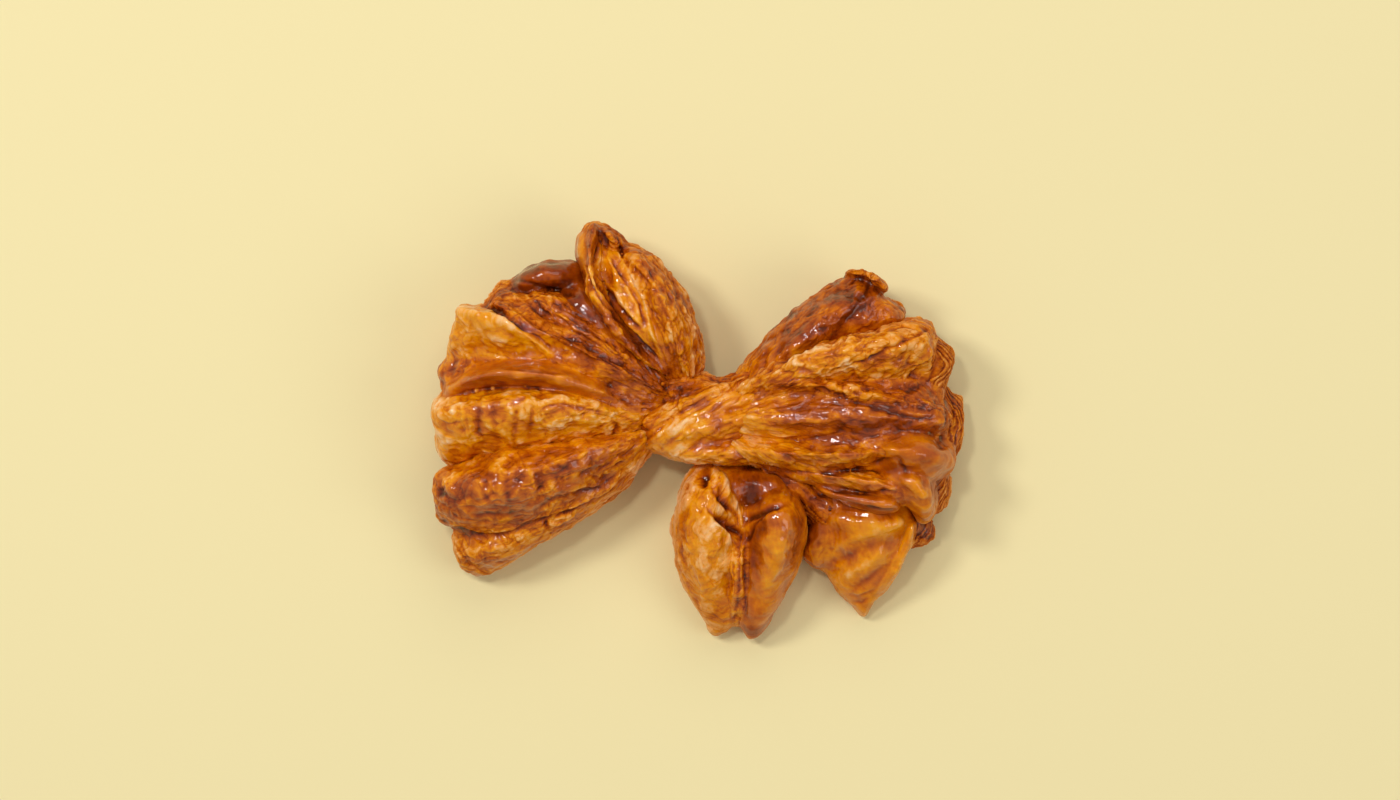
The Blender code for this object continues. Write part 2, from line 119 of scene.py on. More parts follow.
@dataclass(frozen=True)
class Pleat:
    """One puffed fold. Triples are values at its root, belly and end, in drawn millimetres."""

    path: tuple[Spot, Spot, Spot]  # points of its middle line
    half: Triple  # half widths
    crest: Triple  # heights of its crest above the table
    under: Triple  # heights of its underside above the table
    crust: Crust = Crust.GLAZED
    tone: float = 0.5  # 0 is pale gold, 1 is burnt caramel
    ridge: float = 0.0  # where the crest lies, from -1 (right edge) to 1 (left edge)
    fold: float = 0.3  # 0 is a round back, 1 is a sharp crease
    tip: float = 0.4  # 0.15 is a blunt end, 1 is an oval one
    seam: float = 1.0  # how deep a crease it makes where it meets its neighbours, and how much painted shade darkens it

    def through(self, triple: tuple, place: Points) -> Points:
        """The parabola through three values.

        Args:
            triple: values, or points, at the root, belly and end.
            place: places along the pleat, from 0 to 1.

        Returns:
            One value, or point, for each place.
        """
        first, middle, last = (np.asarray(value, float) for value in triple)
        t = np.asarray(place)[:, None] if first.ndim else np.asarray(place)
        return first * (1 - t) * (1 - 2 * t) + middle * 4 * t * (1 - t) + last * t * (2 * t - 1)

    def rings(self, count: int) -> tuple[Points, Points]:
        """Places the rings from pole to pole, evenly over the skin.

        Args:
            count: number of rings.

        Returns:
            Place along the pleat and share of the full section, for each ring.
        """
        fine = np.linspace(0, 1, CURVE_STEPS)
        turn = np.cos(fine * np.pi)
        along = -np.sign(turn) * np.abs(turn) ** self.tip
        swell = np.sin(fine * np.pi) ** self.tip
        reach = np.ptp(np.asarray(self.path), axis=0).max() / 2
        step = np.hypot(np.diff(along * reach), np.diff(swell * max(self.half)))
        length = np.concatenate([[0], np.cumsum(step)])
        even = np.interp(np.linspace(0, length[-1], count), length, fine)
        return np.interp(even, fine, (along + 1) / 2), np.interp(even, fine, swell)

    def section(self, count: int) -> tuple[Points, Points, Points]:
        """Goes round one section.

        Args:
            count: number of points.

        Returns:
            Sideways share, share of the crest and share of the depth of each point.
        """
        turn = np.linspace(0, 2 * np.pi, count, endpoint=False)
        side = np.cos(turn)
        crest_power, edge_power = self.powers()
        up = (1 - np.minimum(self.wing(side), 1) ** crest_power) ** edge_power
        down = np.abs(np.sin(turn)) ** 0.8
        return side, np.where(np.sin(turn) >= 0, up, 0), np.where(np.sin(turn) < 0, down, 0)

    def powers(self) -> Range:
        """How round the back is near its crest and near its edges."""
        return 2 - 0.8 * self.fold, 0.5 + 0.4 * self.fold

    def wing(self, side: Points) -> Points:
        """Share of the way from the crest, at 0, to the edge on either side, at 1."""
        left, right = (side - self.ridge) / (1 - self.ridge), (self.ridge - side) / (1 + self.ridge)
        return np.maximum(np.maximum(left, right), 0)

    def half_at(self, place: Points) -> Points:
        """Half widths at places along the pleat."""
        return np.maximum(self.through(self.half, place), LEAST_HALF)

    def levels_at(self, place: Points) -> tuple[Points, Points, Points]:
        """Heights of the crest, of the underside and of the widest level."""
        crest, under = self.through(self.crest, place), self.through(self.under, place)
        return crest, under, under + WIDEST * (crest - under)

    def frame_at(self, place: Points) -> tuple[Points, Points, Points]:
        """Gives the middle line.

        Args:
            place: places along the pleat.

        Returns:
            Points of the line, its headings and the directions to its left.
        """
        middle = self.through(self.path, place)
        ahead = self.through(self.path, place + 0.005) - self.through(self.path, place - 0.005)
        heading = ahead / np.linalg.norm(ahead, axis=1)[:, None]
        return middle, heading, np.stack([-heading[:, 1], heading[:, 0]], axis=1)

    def shape(self, along: int, around: int) -> Points:
        """Shapes the pleat's skin.

        Args:
            along: number of rings.
            around: points of each ring.

        Returns:
            Points, ring by ring.
        """
        place, swell = self.rings(along)
        middle, _, left = self.frame_at(place)
        half = self.half_at(place) * swell
        crest, under, level = self.levels_at(place)
        side, up, down = self.section(around)
        flat = middle[:, None, :] + left[:, None, :] * (half[:, None] * side)[..., None]
        top, bottom = (crest - level)[:, None] * up, (level - under)[:, None] * down
        height = level[:, None] + swell[:, None] * (top - bottom)
        return np.concatenate([flat, height[..., None]], axis=2)

    def near(self, spots: Points) -> Points:
        """Finds the points that lie near the pleat's box.

        Args:
            spots: any points.

        Returns:
            Their numbers.
        """
        skin = self.shape(13, 12).reshape(-1, 3)
        low, high = skin.min(axis=0) - NEAR, skin.max(axis=0) + NEAR
        return np.flatnonzero(((spots > low) & (spots < high)).all(axis=1))

    def measure(self, spots: Points) -> tuple[Points, Points]:
        """Finds where points lie on the pleat.

        Args:
            spots: points near it.

        Returns:
            Way across its back from the crest, and distance outside its skin.
        """
        stations = np.linspace(0, 1, STATIONS)
        middle, heading, left = self.frame_at(stations)
        near = np.full(len(spots), np.inf)
        which = np.zeros(len(spots), int)
        for number, point in enumerate(middle):
            far = (spots[:, 0] - point[0]) ** 2 + (spots[:, 1] - point[1]) ** 2
            closer = far < near
            near[closer] = far[closer]
            which[closer] = number
        steps = np.linalg.norm(np.diff(middle, axis=0), axis=1)
        length = np.concatenate([[0], np.cumsum(steps)])
        offset = spots[:, :2] - middle[which]
        along = length[which] + (offset * heading[which]).sum(axis=1)
        across = (offset * left[which]).sum(axis=1)
        beyond = np.maximum(np.maximum(-along, along - length[-1]), 0)
        place = np.interp(along, length, stations)
        half = self.half_at(place)
        crest, under, level = self.levels_at(place)
        side = across / half
        above = np.maximum(spots[:, 2] - level, 0) / (crest - level)
        below = np.maximum(level - spots[:, 2], 0) / (level - under)
        crest_power, edge_power = self.powers()
        up_power = 1 / edge_power
        top = (self.wing(side) ** crest_power + above**up_power) ** (2 / (crest_power + up_power))
        bottom = (side**2 + below**2.5) ** (1 / 2.25)
        round_ = np.where(spots[:, 2] >= level, top, bottom)
        end = np.abs(2 * place - 1) ** (2 / self.tip)
        whole = np.maximum(round_ ** (2 / self.tip) + end, 1e-6)
        reach = np.where(spots[:, 2] >= level, np.minimum(half, crest - level), half)
        sharp = np.hypot(round_ ** (2 / self.tip) / whole / reach, end / whole / (length[-1] / 2))
        outside = (whole ** (self.tip / 2) - 1) / np.maximum(sharp, 1e-3) + beyond
        drop = 0.7 * np.maximum(crest - spots[:, 2], 0)
        return across + np.sign(side - self.ridge) * drop, np.minimum(outside, FAR)


class Mark(Enum):
    """What a stroke leaves in the crust."""

    CREASE = "crease"
    RIDGE = "ridge"
    SHEET = "sheet"


@dataclass(frozen=True)
class Stroke:
    """A line worked into the crust, in drawn millimetres, seen from above."""

    line: tuple[Spot, ...]
    width: float = 0.7
    depth: float = 0.7
    tone: float = 0.25  # darkening along the line: browning, and painted shade in a crease or at a sheet's foot; on a ridge it pales as a painted highlight
    mark: Mark = Mark.CREASE

    def press(self, spots: Points) -> tuple[Points, Points, Points]:
        """Works the stroke.

        Args:
            spots: points of the crust.

        Returns:
            Numbers of the points that it reaches, their lift and their browning, with painted shade or
            highlight.
        """
        reach = 4 * self.width + (3 if self.mark is Mark.SHEET else 0)
        line = np.asarray(self.line, float)
        low, high = line.min(axis=0) - reach, line.max(axis=0) + reach
        near = np.flatnonzero(((spots[:, :2] > low) & (spots[:, :2] < high)).all(axis=1))
        far = np.full(len(near), np.inf)
        side = np.zeros(len(near))
        place = np.zeros(len(near))
        walked = 0.0
        for start, stop in zip(line[:-1], line[1:]):
            run = stop - start
            length = float(np.hypot(*run))
            offset = spots[near, :2] - start
            share = np.clip(offset @ run / length**2, 0, 1)
            rest = offset - share[:, None] * run
            gap = np.hypot(rest[:, 0], rest[:, 1])
            closer = gap < far
            far[closer] = gap[closer]
            side[closer] = np.sign(run[0] * offset[:, 1] - run[1] * offset[:, 0])[closer]
            place[closer] = (walked + share * length)[closer]
            walked += length
        fade = np.clip(np.minimum(place, walked - place) / min(4, walked / 3) + 0.15, 0, 1)
        core = np.exp(-((far / self.width) ** 2)) * fade
        # A crease is darkened with browning and painted shade, a ridge paled with a painted highlight,
        # and a sheet's foot darkened with painted shade.
        if self.mark is Mark.CREASE:
            return near, -self.depth * core, self.tone * core
        if self.mark is Mark.RIDGE:
            return near, self.depth * core, -self.tone * core
        raised = 1 / (1 + np.exp(-side * far / (0.35 * self.width)))
        step = self.depth * (raised - 0.5) * np.exp(-far / (2.5 * self.width)) * 2 * fade
        foot = np.exp(-(((side * far + self.width) / self.width) ** 2)) * fade
        return near, step, self.tone * foot


class Grain:
    """Repeatable roughness for the crust, worked on whole arrays."""

    def __init__(self, seed: int) -> None:
        """Draws the tables.

        Args:
            seed: a fixed seed, which gives the same tables each time.
        """
        dice = np.random.default_rng(seed)
        self.table = dice.permutation(256).astype(np.int32)
        slopes = dice.normal(size=(256, 3))
        self.slopes = (slopes / np.linalg.norm(slopes, axis=1)[:, None]).astype(np.float32)

    def waves(self, x: Points, y: Points, z: Points | float) -> Points:
        """Soft hills and hollows.

        Args:
            x: first coordinate of each point, in sizes of a hill.
            y: second coordinate.
            z: third coordinate, or one number for all.

        Returns:
            Heights from about -1 to 1.
        """
        spots = np.stack(np.broadcast_arrays(x, y, z), axis=1).astype(np.float32)
        floor = np.floor(spots)
        part = spots - floor
        cell = floor.astype(np.int32)
        ease = part**3 * (part * (part * 6 - 15) + 10)
        total = np.zeros(len(spots), np.float32)
        for corner in range(8):
            step = np.array([corner & 1, corner >> 1 & 1, corner >> 2], np.int32)
            key = self.table[(cell[:, 0] + step[0]) & 255]
            key = self.table[(key + cell[:, 1] + step[1]) & 255]
            key = self.table[(key + cell[:, 2] + step[2]) & 255]
            slope = np.einsum("ij,ij->i", self.slopes[key], part - step.astype(np.float32))
            total += slope * np.where(step, ease, 1 - ease).prod(axis=1)
        return total * 1.7

    def ridges(self, x: Points, y: Points, z: Points | float) -> Points:
        """Thin folds: 1 on a fold and 0 between folds."""
        return np.clip(1 - 2.2 * np.abs(self.waves(x, y, z)), 0, 1)

    def puffs(self, x: Points, y: Points, z: Points) -> Points:
        """Round swellings with valleys between them, from about 0.2 to about 1."""
        return np.clip(np.sqrt(self.waves(x, y, z) ** 2 + 0.012) * 1.9, 0, 1.4)

    def crumple(self, x: Points, y: Points, z: Points) -> Points:
        """Flat facets that meet in sharp folds.

        Args:
            x: first coordinate of each point, in sizes of a facet.
            y: second coordinate.
            z: third coordinate.

        Returns:
            Heights from about -0.5 to 0.5.
        """
        bend = 0.9 * self.waves(x / 2.3, y / 2.3, z / 2.3)
        total = np.zeros(len(bend))
        for turn, size in ((0.35, 1.0), (1.85, 0.8), (2.75, 1.25)):
            way = (x * np.cos(turn) + y * np.sin(turn)) / size + bend + 0.4 * z
            total += np.abs(way - np.floor(way) - 0.5) * 2 - 0.5
        return total / 2.4

    def sheets(self, x: Points, y: Points, z: Points, levels: float) -> tuple[Points, ...]:
        """Thin flat sheets with curving edges, one over another.

        Args:
            x: first coordinate of each point, in sizes of a sheet.
            y: second coordinate.
            z: third coordinate.
            levels: number of sheets from the lowest place to the highest.

        Returns:
            Heights from about -0.5 to 0.5, 1 along the foot of an edge, and a shade from -1 to 1
            for each sheet.
        """
        height = self.waves(x, y, z) * levels
        step = np.floor(height)
        part = height - step
        rise = np.clip(part * 5, 0, 1)
        foot = np.exp(-((np.minimum(part, 1 - part) / 0.16) ** 2))
        return (step + rise - 0.5) / levels, foot, np.sin(7.3 * step + 2.0)


@dataclass
class Survey:
    """Where each point of a piece's skin lies on the bow's pleats."""

    own: Points  # number of its pleat
    across: Points  # way across that pleat's back
    bare: Points  # distance to the nearest other pleat of the piece, for fading patterns
    crease: Points  # 1 in a crease between pleats, 0 away from them
    buried: Points  # how deep under another pleat's skin
    gap: Points  # distance outside the nearest pleat of another piece
    beside: Points  # browning of that pleat

    @staticmethod
    def of(spots: Points, pleats: list[Pleat], others: list[Pleat]) -> "Survey":
        """Surveys the points.

        Args:
            spots: points of the piece's skin.
            pleats: the piece's own pleats.
            others: the pleats of all other pieces.

        Returns:
            The survey.
        """
        count = len(spots)
        own = np.zeros(count, int)
        across = np.zeros(count)
        best = np.full(count, FAR)
        gaps = []
        for number, pleat in enumerate(pleats):
            near = pleat.near(spots)
            way, outside = pleat.measure(spots[near])
            gaps.append((pleat, near, outside))
            closer = np.abs(outside) < best[near]
            hit = near[closer]
            own[hit], across[hit] = number, way[closer]
            best[hit] = np.abs(outside[closer])
        mine = np.full(count, FAR)
        for number, (_, near, outside) in enumerate(gaps):
            same = own[near] == number
            mine[near[same]] = outside[same]
        seams = np.array([pleat.seam for pleat in pleats])
        bare = np.full(count, FAR)
        crease = np.zeros(count)
        buried = np.zeros(count)
        for number, (pleat, near, outside) in enumerate(gaps):
            other = own[near] != number
            hit, gap = near[other], (outside - mine[near])[other]
            bare[hit] = np.minimum(bare[hit], np.abs(gap))
            strength = np.minimum(pleat.seam, seams[own[hit]])
            crease[hit] = np.maximum(crease[hit], strength * np.exp(-((gap / 1.1) ** 2)))
        near_gap, beside = np.full(count, FAR), np.full(count, 0.5)
        for pleat in others:
            if not pleat.seam:
                continue
            near = pleat.near(spots)
            if not len(near):
                continue
            gap = pleat.measure(spots[near])[1] - mine[near]
            strength = np.minimum(pleat.seam, seams[own[near]])
            dark = strength * np.exp(-((np.maximum(gap, 0) / 1.1) ** 2))
            crease[near] = np.maximum(crease[near], dark)
            buried[near] = np.maximum(buried[near], -gap)
            closer = np.abs(gap) < near_gap[near]
            near_gap[near[closer]] = np.abs(gap[closer])
            beside[near[closer]] = pleat.tone
        return Survey(own, across, bare, crease, buried, near_gap, beside)


@dataclass
class Relief:
    """What the sculpting leaves on each point."""

    lift: Points  # in millimetres
    tone: Points  # browning, with painted shade in creases and painted shade or highlight from strokes; 0 is pale gold and 1 is burnt caramel
    shine: Points  # 0 is dry, 1 is poured caramel
    rough: Points  # 0 is a plain sheet, 1 is torn into flakes
    run: Points  # way from the root, way across and height, in millimetres, for the fine fibres
    ridge_highlight_share: Points  # share of the painted highlight on ridges that is left, less beside other pieces


class Around:
    """The neighbours of each point of a mesh."""

    def __init__(self, mesh: bpy.types.Mesh) -> None:
        """Reads the mesh's edges.

        Args:
            mesh: the mesh whose points are asked about.
        """
        ends = np.empty(len(mesh.edges) * 2, np.int32)
        mesh.edges.foreach_get("vertices", ends)
        self.first, self.second = ends[::2], ends[1::2]
        self.count = len(mesh.vertices)
        self.degree = np.maximum(np.bincount(ends, minlength=self.count), 1)[:, None]

    def mean(self, values: Points) -> Points:
        """Averages over each point's neighbours.

        Args:
            values: a row of values for each point.

        Returns:
            The means, in the same shape.
        """
        total = np.zeros_like(values)
        for axis in range(values.shape[1]):
            total[:, axis] = np.bincount(self.first, values[self.second, axis], self.count)
            total[:, axis] += np.bincount(self.second, values[self.first, axis], self.count)
        return total / self.degree


@dataclass
class DoughPiece:
    """A closed piece of crust, fused from pleats, sculpted and glazed."""

    name: str
    pleats: tuple[Pleat, ...]
    strokes: tuple[Stroke, ...] = ()
    root: Spot = (-4.0, 6.0)  # where its folds run to
    seed: int = 1
    coarse: float = 1.0  # times the usual grid
    fill: int = 40  # how far the valleys between its pleats are filled
    pale_root: float = 0.0  # how much paler it is near its root
    dark_end: float = 0.0  # how much darker it is at its right end than in its middle
    around: Around | None = None  # its points' neighbours, once it is fused

    def build(self, others: list[Pleat]) -> bpy.types.Mesh:
        """Makes the piece.

        Args:
            others: the pleats of all other pieces, which press creases into this one.

        Returns:
            Its finished mesh, in drawn millimetres.
        """
        mesh = self.fuse(self.raise_pleats())
        self.around = Around(mesh)
        spots, normals = self.read(mesh)
        spots += normals * self.puffs(spots)[:, None]
        relief = self.sculpt(spots, normals, others)
        for _ in range(6):
            normals = self.around.mean(normals) + 0.3 * normals
        normals /= np.linalg.norm(normals, axis=1)[:, None]
        spots += normals * relief.lift[:, None]
        spots = 0.75 * spots + 0.25 * self.around.mean(spots)
        mesh.vertices.foreach_set("co", spots.astype(np.float32).ravel())
        mesh.update()
        self.stain(mesh, spots, relief)
        mesh = self.thin(mesh)
        self.stand_flat(mesh)
        mesh.shade_smooth()
        return mesh

    def raise_pleats(self) -> bpy.types.Mesh:
        """Makes a ball for each pleat and moves its rings onto the pleat's sections.

        Returns:
            One mesh with all of them.
        """
        ball = bmesh.new()
        bmesh.ops.create_uvsphere(ball, u_segments=AROUND, v_segments=ALONG, radius=1)
        spots = np.array([vertex.co for vertex in ball.verts])
        mesh = bpy.data.meshes.new("ball")
        ball.to_mesh(mesh)
        ball.free()
        ring = np.rint(np.arccos(np.clip(-spots[:, 2], -1, 1)) / np.pi * ALONG).astype(int)
        spoke = np.rint(np.arctan2(spots[:, 1], spots[:, 0]) / (2 * np.pi) * AROUND).astype(int)
        skin = bmesh.new()
        for pleat in self.pleats:
            points = pleat.shape(ALONG + 1, AROUND)[ring, spoke % AROUND]
            mesh.vertices.foreach_set("co", points.astype(np.float32).ravel())
            skin.from_mesh(mesh)
        bmesh.ops.recalc_face_normals(skin, faces=skin.faces[:])
        raised = bpy.data.meshes.new(self.name)
        skin.to_mesh(raised)
        skin.free()
        return raised

    def fuse(self, mesh: bpy.types.Mesh) -> bpy.types.Mesh:
        """Fuses the pleats into one skin.

        Args:
            mesh: the separate pleats.

        Returns:
            The skin, on the piece's grid.
        """
        fused = self.finish_with(mesh, self.add_fusing)
        self.fill_valleys(fused)
        return self.finish_with(fused, self.add_rounding)

    def add_fusing(self, modifiers: bpy.types.ObjectModifiers) -> None:
        """Adds the fusing of the pleats, on a grid of twice the grain, and its softening.

        Args:
            modifiers: the modifiers of the object with the pleats.
        """
        fuse = modifiers.new("fuse", "REMESH")
        fuse.mode = "VOXEL"
        fuse.voxel_size = 2 * GRAIN * self.coarse
        soften = modifiers.new("soften", "SMOOTH")
        soften.factor = 0.5
        soften.iterations = 3

    def add_rounding(self, modifiers: bpy.types.ObjectModifiers) -> None:
        """Adds the rounding that brings the skin to the grain.

        Args:
            modifiers: the modifiers of the object with the skin.
        """
        round_ = modifiers.new("round", "SUBSURF")
        round_.levels = 1
        round_.render_levels = 1

    def finish_with(self, mesh: bpy.types.Mesh, add: Callable) -> bpy.types.Mesh:
        """Applies modifiers to a mesh.

        Args:
            mesh: the mesh.
            add: adds the modifiers to an object's stack.

        Returns:
            The new mesh.
        """
        holder = bpy.data.objects.new("holder", mesh)
        bpy.context.scene.collection.objects.link(holder)
        add(holder.modifiers)
        graph = bpy.context.evaluated_depsgraph_get()
        finished = bpy.data.meshes.new_from_object(holder.evaluated_get(graph))
        bpy.data.objects.remove(holder)
        return finished

    def fill_valleys(self, mesh: bpy.types.Mesh) -> None:
        """Lets the dough swell into the valleys between pleats, and nowhere else.

        Args:
            mesh: the fused skin, which is changed.
        """
        around = Around(mesh)
        for _ in range(self.fill):
            spots, normals = self.read(mesh)
            rise = ((around.mean(spots) - spots) * normals).sum(axis=1)
            spots += normals * np.maximum(rise, 0)[:, None]
            mesh.vertices.foreach_set("co", spots.astype(np.float32).ravel())
            mesh.update()

    def read(self, mesh: bpy.types.Mesh) -> tuple[Points, Points]:
        """Reads a mesh.

        Args:
            mesh: the mesh.

        Returns:
            Its points and its normals.
        """
        spots, normals = (np.empty(len(mesh.vertices) * 3, np.float32) for _ in range(2))
        mesh.vertices.foreach_get("co", spots)
        mesh.vertices.foreach_get("normal", normals)
        return spots.reshape(-1, 3).astype(float), normals.reshape(-1, 3).astype(float)

    def puffs(self, spots: Points) -> Points:
        """Raises the same broad bulges that the CAD model has.

        Args:
            spots: points of the skin.

        Returns:
            How far each of them goes out.
        """
        lift = np.zeros(len(spots))
        for size, height in PUFFS:
            lift += height * np.array([noise.noise(spot) for spot in (spots / size).tolist()])
        return lift

    def sculpt(self, spots: Points, normals: Points, others: list[Pleat]) -> Relief:
        """Works the crust.

        Args:
            spots: points of the skin.
            normals: the ways out of it.
            others: the pleats of all other pieces.

        Returns:
            The relief.
        """
        grain = Grain(self.seed)
        survey = Survey.of(spots, list(self.pleats), others)
        skins = [pleat.crust.value for pleat in self.pleats]
        own = survey.own

        def of_skin(name: str) -> Points:
            """One value of each point's skin."""
            return np.array([getattr(skin, name) for skin in skins])[own]

        x, y, z = spots.T
        away_x, away_y = x - self.root[0], y - self.root[1]
        radius = np.hypot(away_x, away_y)
        swing = np.arctan2(away_y, away_x * np.sign(np.mean(away_x))) * np.median(radius)
        r = radius + 2.5 * grain.waves(x / 11, y / 11, z / 11)
        a = swing + 1.6 * grain.waves(x / 8 + 7, y / 8, z / 8)
        a += 0.7 * grain.waves(x / 3.5, y / 3.5, z / 3.5)
        h = z + 0.8 * grain.waves(x / 7, y / 7 + 9, z / 7)
        patchy = np.clip(0.6 + 1.1 * grain.waves(x / 12, y / 12 + 5, z / 12), 0.1, 1.3)
        pool = np.clip(0.5 + 1.5 * grain.waves(r / 11 + 4, a / 4.6, h / 5), 0, 1)
        dry = 1 - pool
        wide, wide_foot, wide_shade = grain.sheets(r / 9, a / 6, h / 7, 1.8)
        slim, slim_foot, slim_shade = grain.sheets(r / 4.2 + 9, a / 3.0, h / 3.2, 1.1)
        bubbles = np.clip(0.5 + 1.8 * grain.waves(x / 4.8 + 3, y / 4.4, z / 4.8), 0, 1) - 0.5
        films = wide + 0.5 * slim
        layer = (survey.across + 0.25 * a) / 2.1 + 1.1 * grain.waves(r / 15, a / 7, h / 8)
        saw = layer - np.floor(layer)
        leaves = (saw - 0.5) * patchy
        level = h / 1.9 + 0.9 * grain.waves(r / 9, a / 9, h / 9)
        level += 0.25 * grain.waves(r / 2.5, a / 2.5, h / 2.5)
        strata = level - np.floor(level) - 0.5
        facets = grain.crumple(x / 5.4, y / 4.6, z / 4.5) * (0.5 + 0.5 * patchy)
        folds = grain.ridges(r / 12, a / 3.6, h / 5) ** 1.3
        folds += 0.5 * grain.ridges(r / 7, a / 1.7, h / 3) ** 1.3
        folds = (folds - 0.3) * patchy
        cross = (grain.ridges(r / 2.8, a / 7, 9.0) ** 1.4 - 0.3) * dry
        big = grain.puffs(x / 8.5, y / 7.5, z / 7.5)
        small = grain.waves(x / 2.7 + 5, y / 2.5, z / 2.6)
        fine = grain.waves(x / 1.35 + 2, y / 1.3, z / 1.4 + 5)
        blobs = 0.7 * (big - 0.6) + (0.3 * small + 0.16 * fine * dry) * (0.3 + patchy)
        fade = np.clip(0.35 + survey.bare / 1.6, 0.35, 1)
        lift = of_skin("films") * films * 2.0 + of_skin("leaves") * leaves * 1.2
        lift += of_skin("wrinkles") * folds * 1.2 + of_skin("cross") * cross
        lift += (
            of_skin("blobs") * (1.2 * blobs + 0.35 * bubbles)
            + of_skin("crumple") * facets + of_skin("strata") * strata
        )
        lift *= fade
        crease = survey.crease * np.clip(0.55 + 0.8 * grain.waves(x / 6, y / 6 + 3, z / 6), 0.1, 1)
        lift -= 0.3 * crease
        tone = np.array([pleat.tone for pleat in self.pleats])[own]
        share = 0.55 * np.exp(-((survey.gap / 3.0) ** 2))
        tone += share * (survey.beside - tone) - self.pale_root * np.exp(-((radius / 30) ** 2))
        for _ in range(8):
            tone = self.around.mean(tone[:, None])[:, 0]
        rough = np.minimum(of_skin("films") / 0.24, 1.5)
        flank = np.clip(1.1 - 1.6 * normals[:, 2], 0, 1)
        tone += 0.1 * grain.waves(x / 9, y / 9, z / 9 + 4) + (0.3 * rough + 0.1) * 0.5 * (pool - 0.5)
        tone += rough * (0.06 * wide_shade + 0.07 * wide_foot * patchy)
        tone += rough * (0.03 + 0.04 * dry) * (slim_shade + 0.8 * slim_foot)
        tone -= of_skin("blobs") * (0.12 * (big - 0.6) + (0.1 * small + 0.08 * fine) * (0.3 + dry))
        tone -= of_skin("blobs") * 0.28 * bubbles
        tone -= of_skin("wrinkles") * 0.25 * folds + of_skin("leaves") * 0.2 * (saw - 0.5)
        tone -= of_skin("cross") * 0.25 * cross + of_skin("crumple") * 0.2 * facets
        tone -= of_skin("strata") * 0.5 * strata
        # Creases between pleats get painted shade; steep sides are baked paler.
        tone += 0.05 * crease - 0.07 * flank
        tone += self.dark_end * np.clip((x - np.median(x)) / 22, 0, 1) ** 2
        upward = np.clip(normals[:, 2] * 3 - 0.2, 0, 1) * (survey.buried < 1.5)
        # Strokes add browning and painted shade along creases, and a painted highlight along ridges.
        for stroke in self.strokes:
            near, raised, browned_and_shaded = stroke.press(spots)
            lift[near] += 0.65 * raised * upward[near]
            tone[near] += 0.6 * browned_and_shaded * upward[near]
        shine = 0.8 * of_skin("shine") + 0.5 * (pool - 0.4) - 0.1 * crease - 0.4 * flank
        ridge_highlight_share = np.clip(survey.gap / 3, 0.2, 1)
        run = np.stack([r, a, h], axis=1)
        return Relief(lift, tone, np.clip(shine, 0, 1), np.clip(rough / 1.5, 0, 1), run, ridge_highlight_share)

    def stain(self, mesh: bpy.types.Mesh, spots: Points, relief: Relief) -> None:
        """Writes browning, hollows (darkened as pooled caramel and painted shade, ridges paled as a
        painted highlight), shine and roughness to the piece as a colour attribute.

        Args:
            mesh: the sculpted piece.
            spots: its points.
            relief: what the sculpting left on them.
        """
        normals = self.read(mesh)[1]
        soft = spots.copy()
        # Hollows get darker, partly as caramel pooled there and partly as painted shade; ridges get
        # paler as a painted highlight, less beside other pieces.
        hollow_shade = np.zeros(len(spots))
        for step in range(20):
            soft = 0.4 * soft + 0.6 * self.around.mean(soft)
            if step in (4, 19):
                depth = ((soft - spots) * normals).sum(axis=1)
                hollow_shade += np.clip(depth / (0.2 if step == 4 else 0.55), -1, 1.1) * 0.5
        hollow_shade = np.where(hollow_shade < 0, hollow_shade * relief.ridge_highlight_share, hollow_shade)
        colour = np.ones((len(spots), 4), np.float32)
        colour[:, 0] = np.clip(relief.tone, 0, 0.93)
        colour[:, 1] = np.clip(0.5 + 0.33 * hollow_shade, 0, 1)
        colour[:, 2] = relief.shine
        colour[:, 3] = relief.rough
        baked = mesh.attributes.new("bake", "FLOAT_COLOR", "POINT")
        baked.data.foreach_set("color", colour.ravel())
        run = mesh.attributes.new("run", "FLOAT_VECTOR", "POINT")
        run.data.foreach_set("vector", (relief.run * MM).astype(np.float32).ravel())

    def thin(self, mesh: bpy.types.Mesh) -> bpy.types.Mesh:
        """Thins the mesh where it is plain, so that it stays under MOST_TRIANGLES.

        Args:
            mesh: the sculpted piece.

        Returns:
            The same mesh, or a thinner one.
        """
        triangles = len(mesh.polygons) * 2
        if triangles <= MOST_TRIANGLES:
            return mesh

        def add(modifiers: bpy.types.ObjectModifiers) -> None:
            """Adds the thinning."""
            modifiers.new("thin", "DECIMATE").ratio = MOST_TRIANGLES / triangles

        return self.finish_with(mesh, add)

    def stand_flat(self, mesh: bpy.types.Mesh) -> None:
        """Cuts the underside level with the table.

        Args:
            mesh: the piece's mesh, which is changed.
        """
        shell = bmesh.new()
        shell.from_mesh(mesh)
        if min(vertex.co.z for vertex in shell.verts) < FLOOR_CUT:
            everything = shell.verts[:] + shell.edges[:] + shell.faces[:]
            bmesh.ops.bisect_plane(
                shell, geom=everything, dist=1e-4, plane_co=(0, 0, FLOOR_CUT), plane_no=(0, 0, 1),
                clear_inner=True,
            )
            rims = [edge for edge in shell.edges if edge.is_boundary]
            bmesh.ops.triangle_fill(shell, edges=rims, use_beauty=True, normal=(0, 0, -1))
        bmesh.ops.triangulate(shell, faces=shell.faces[:])
        bmesh.ops.recalc_face_normals(shell, faces=shell.faces[:])
        shell.to_mesh(mesh)
        shell.free()


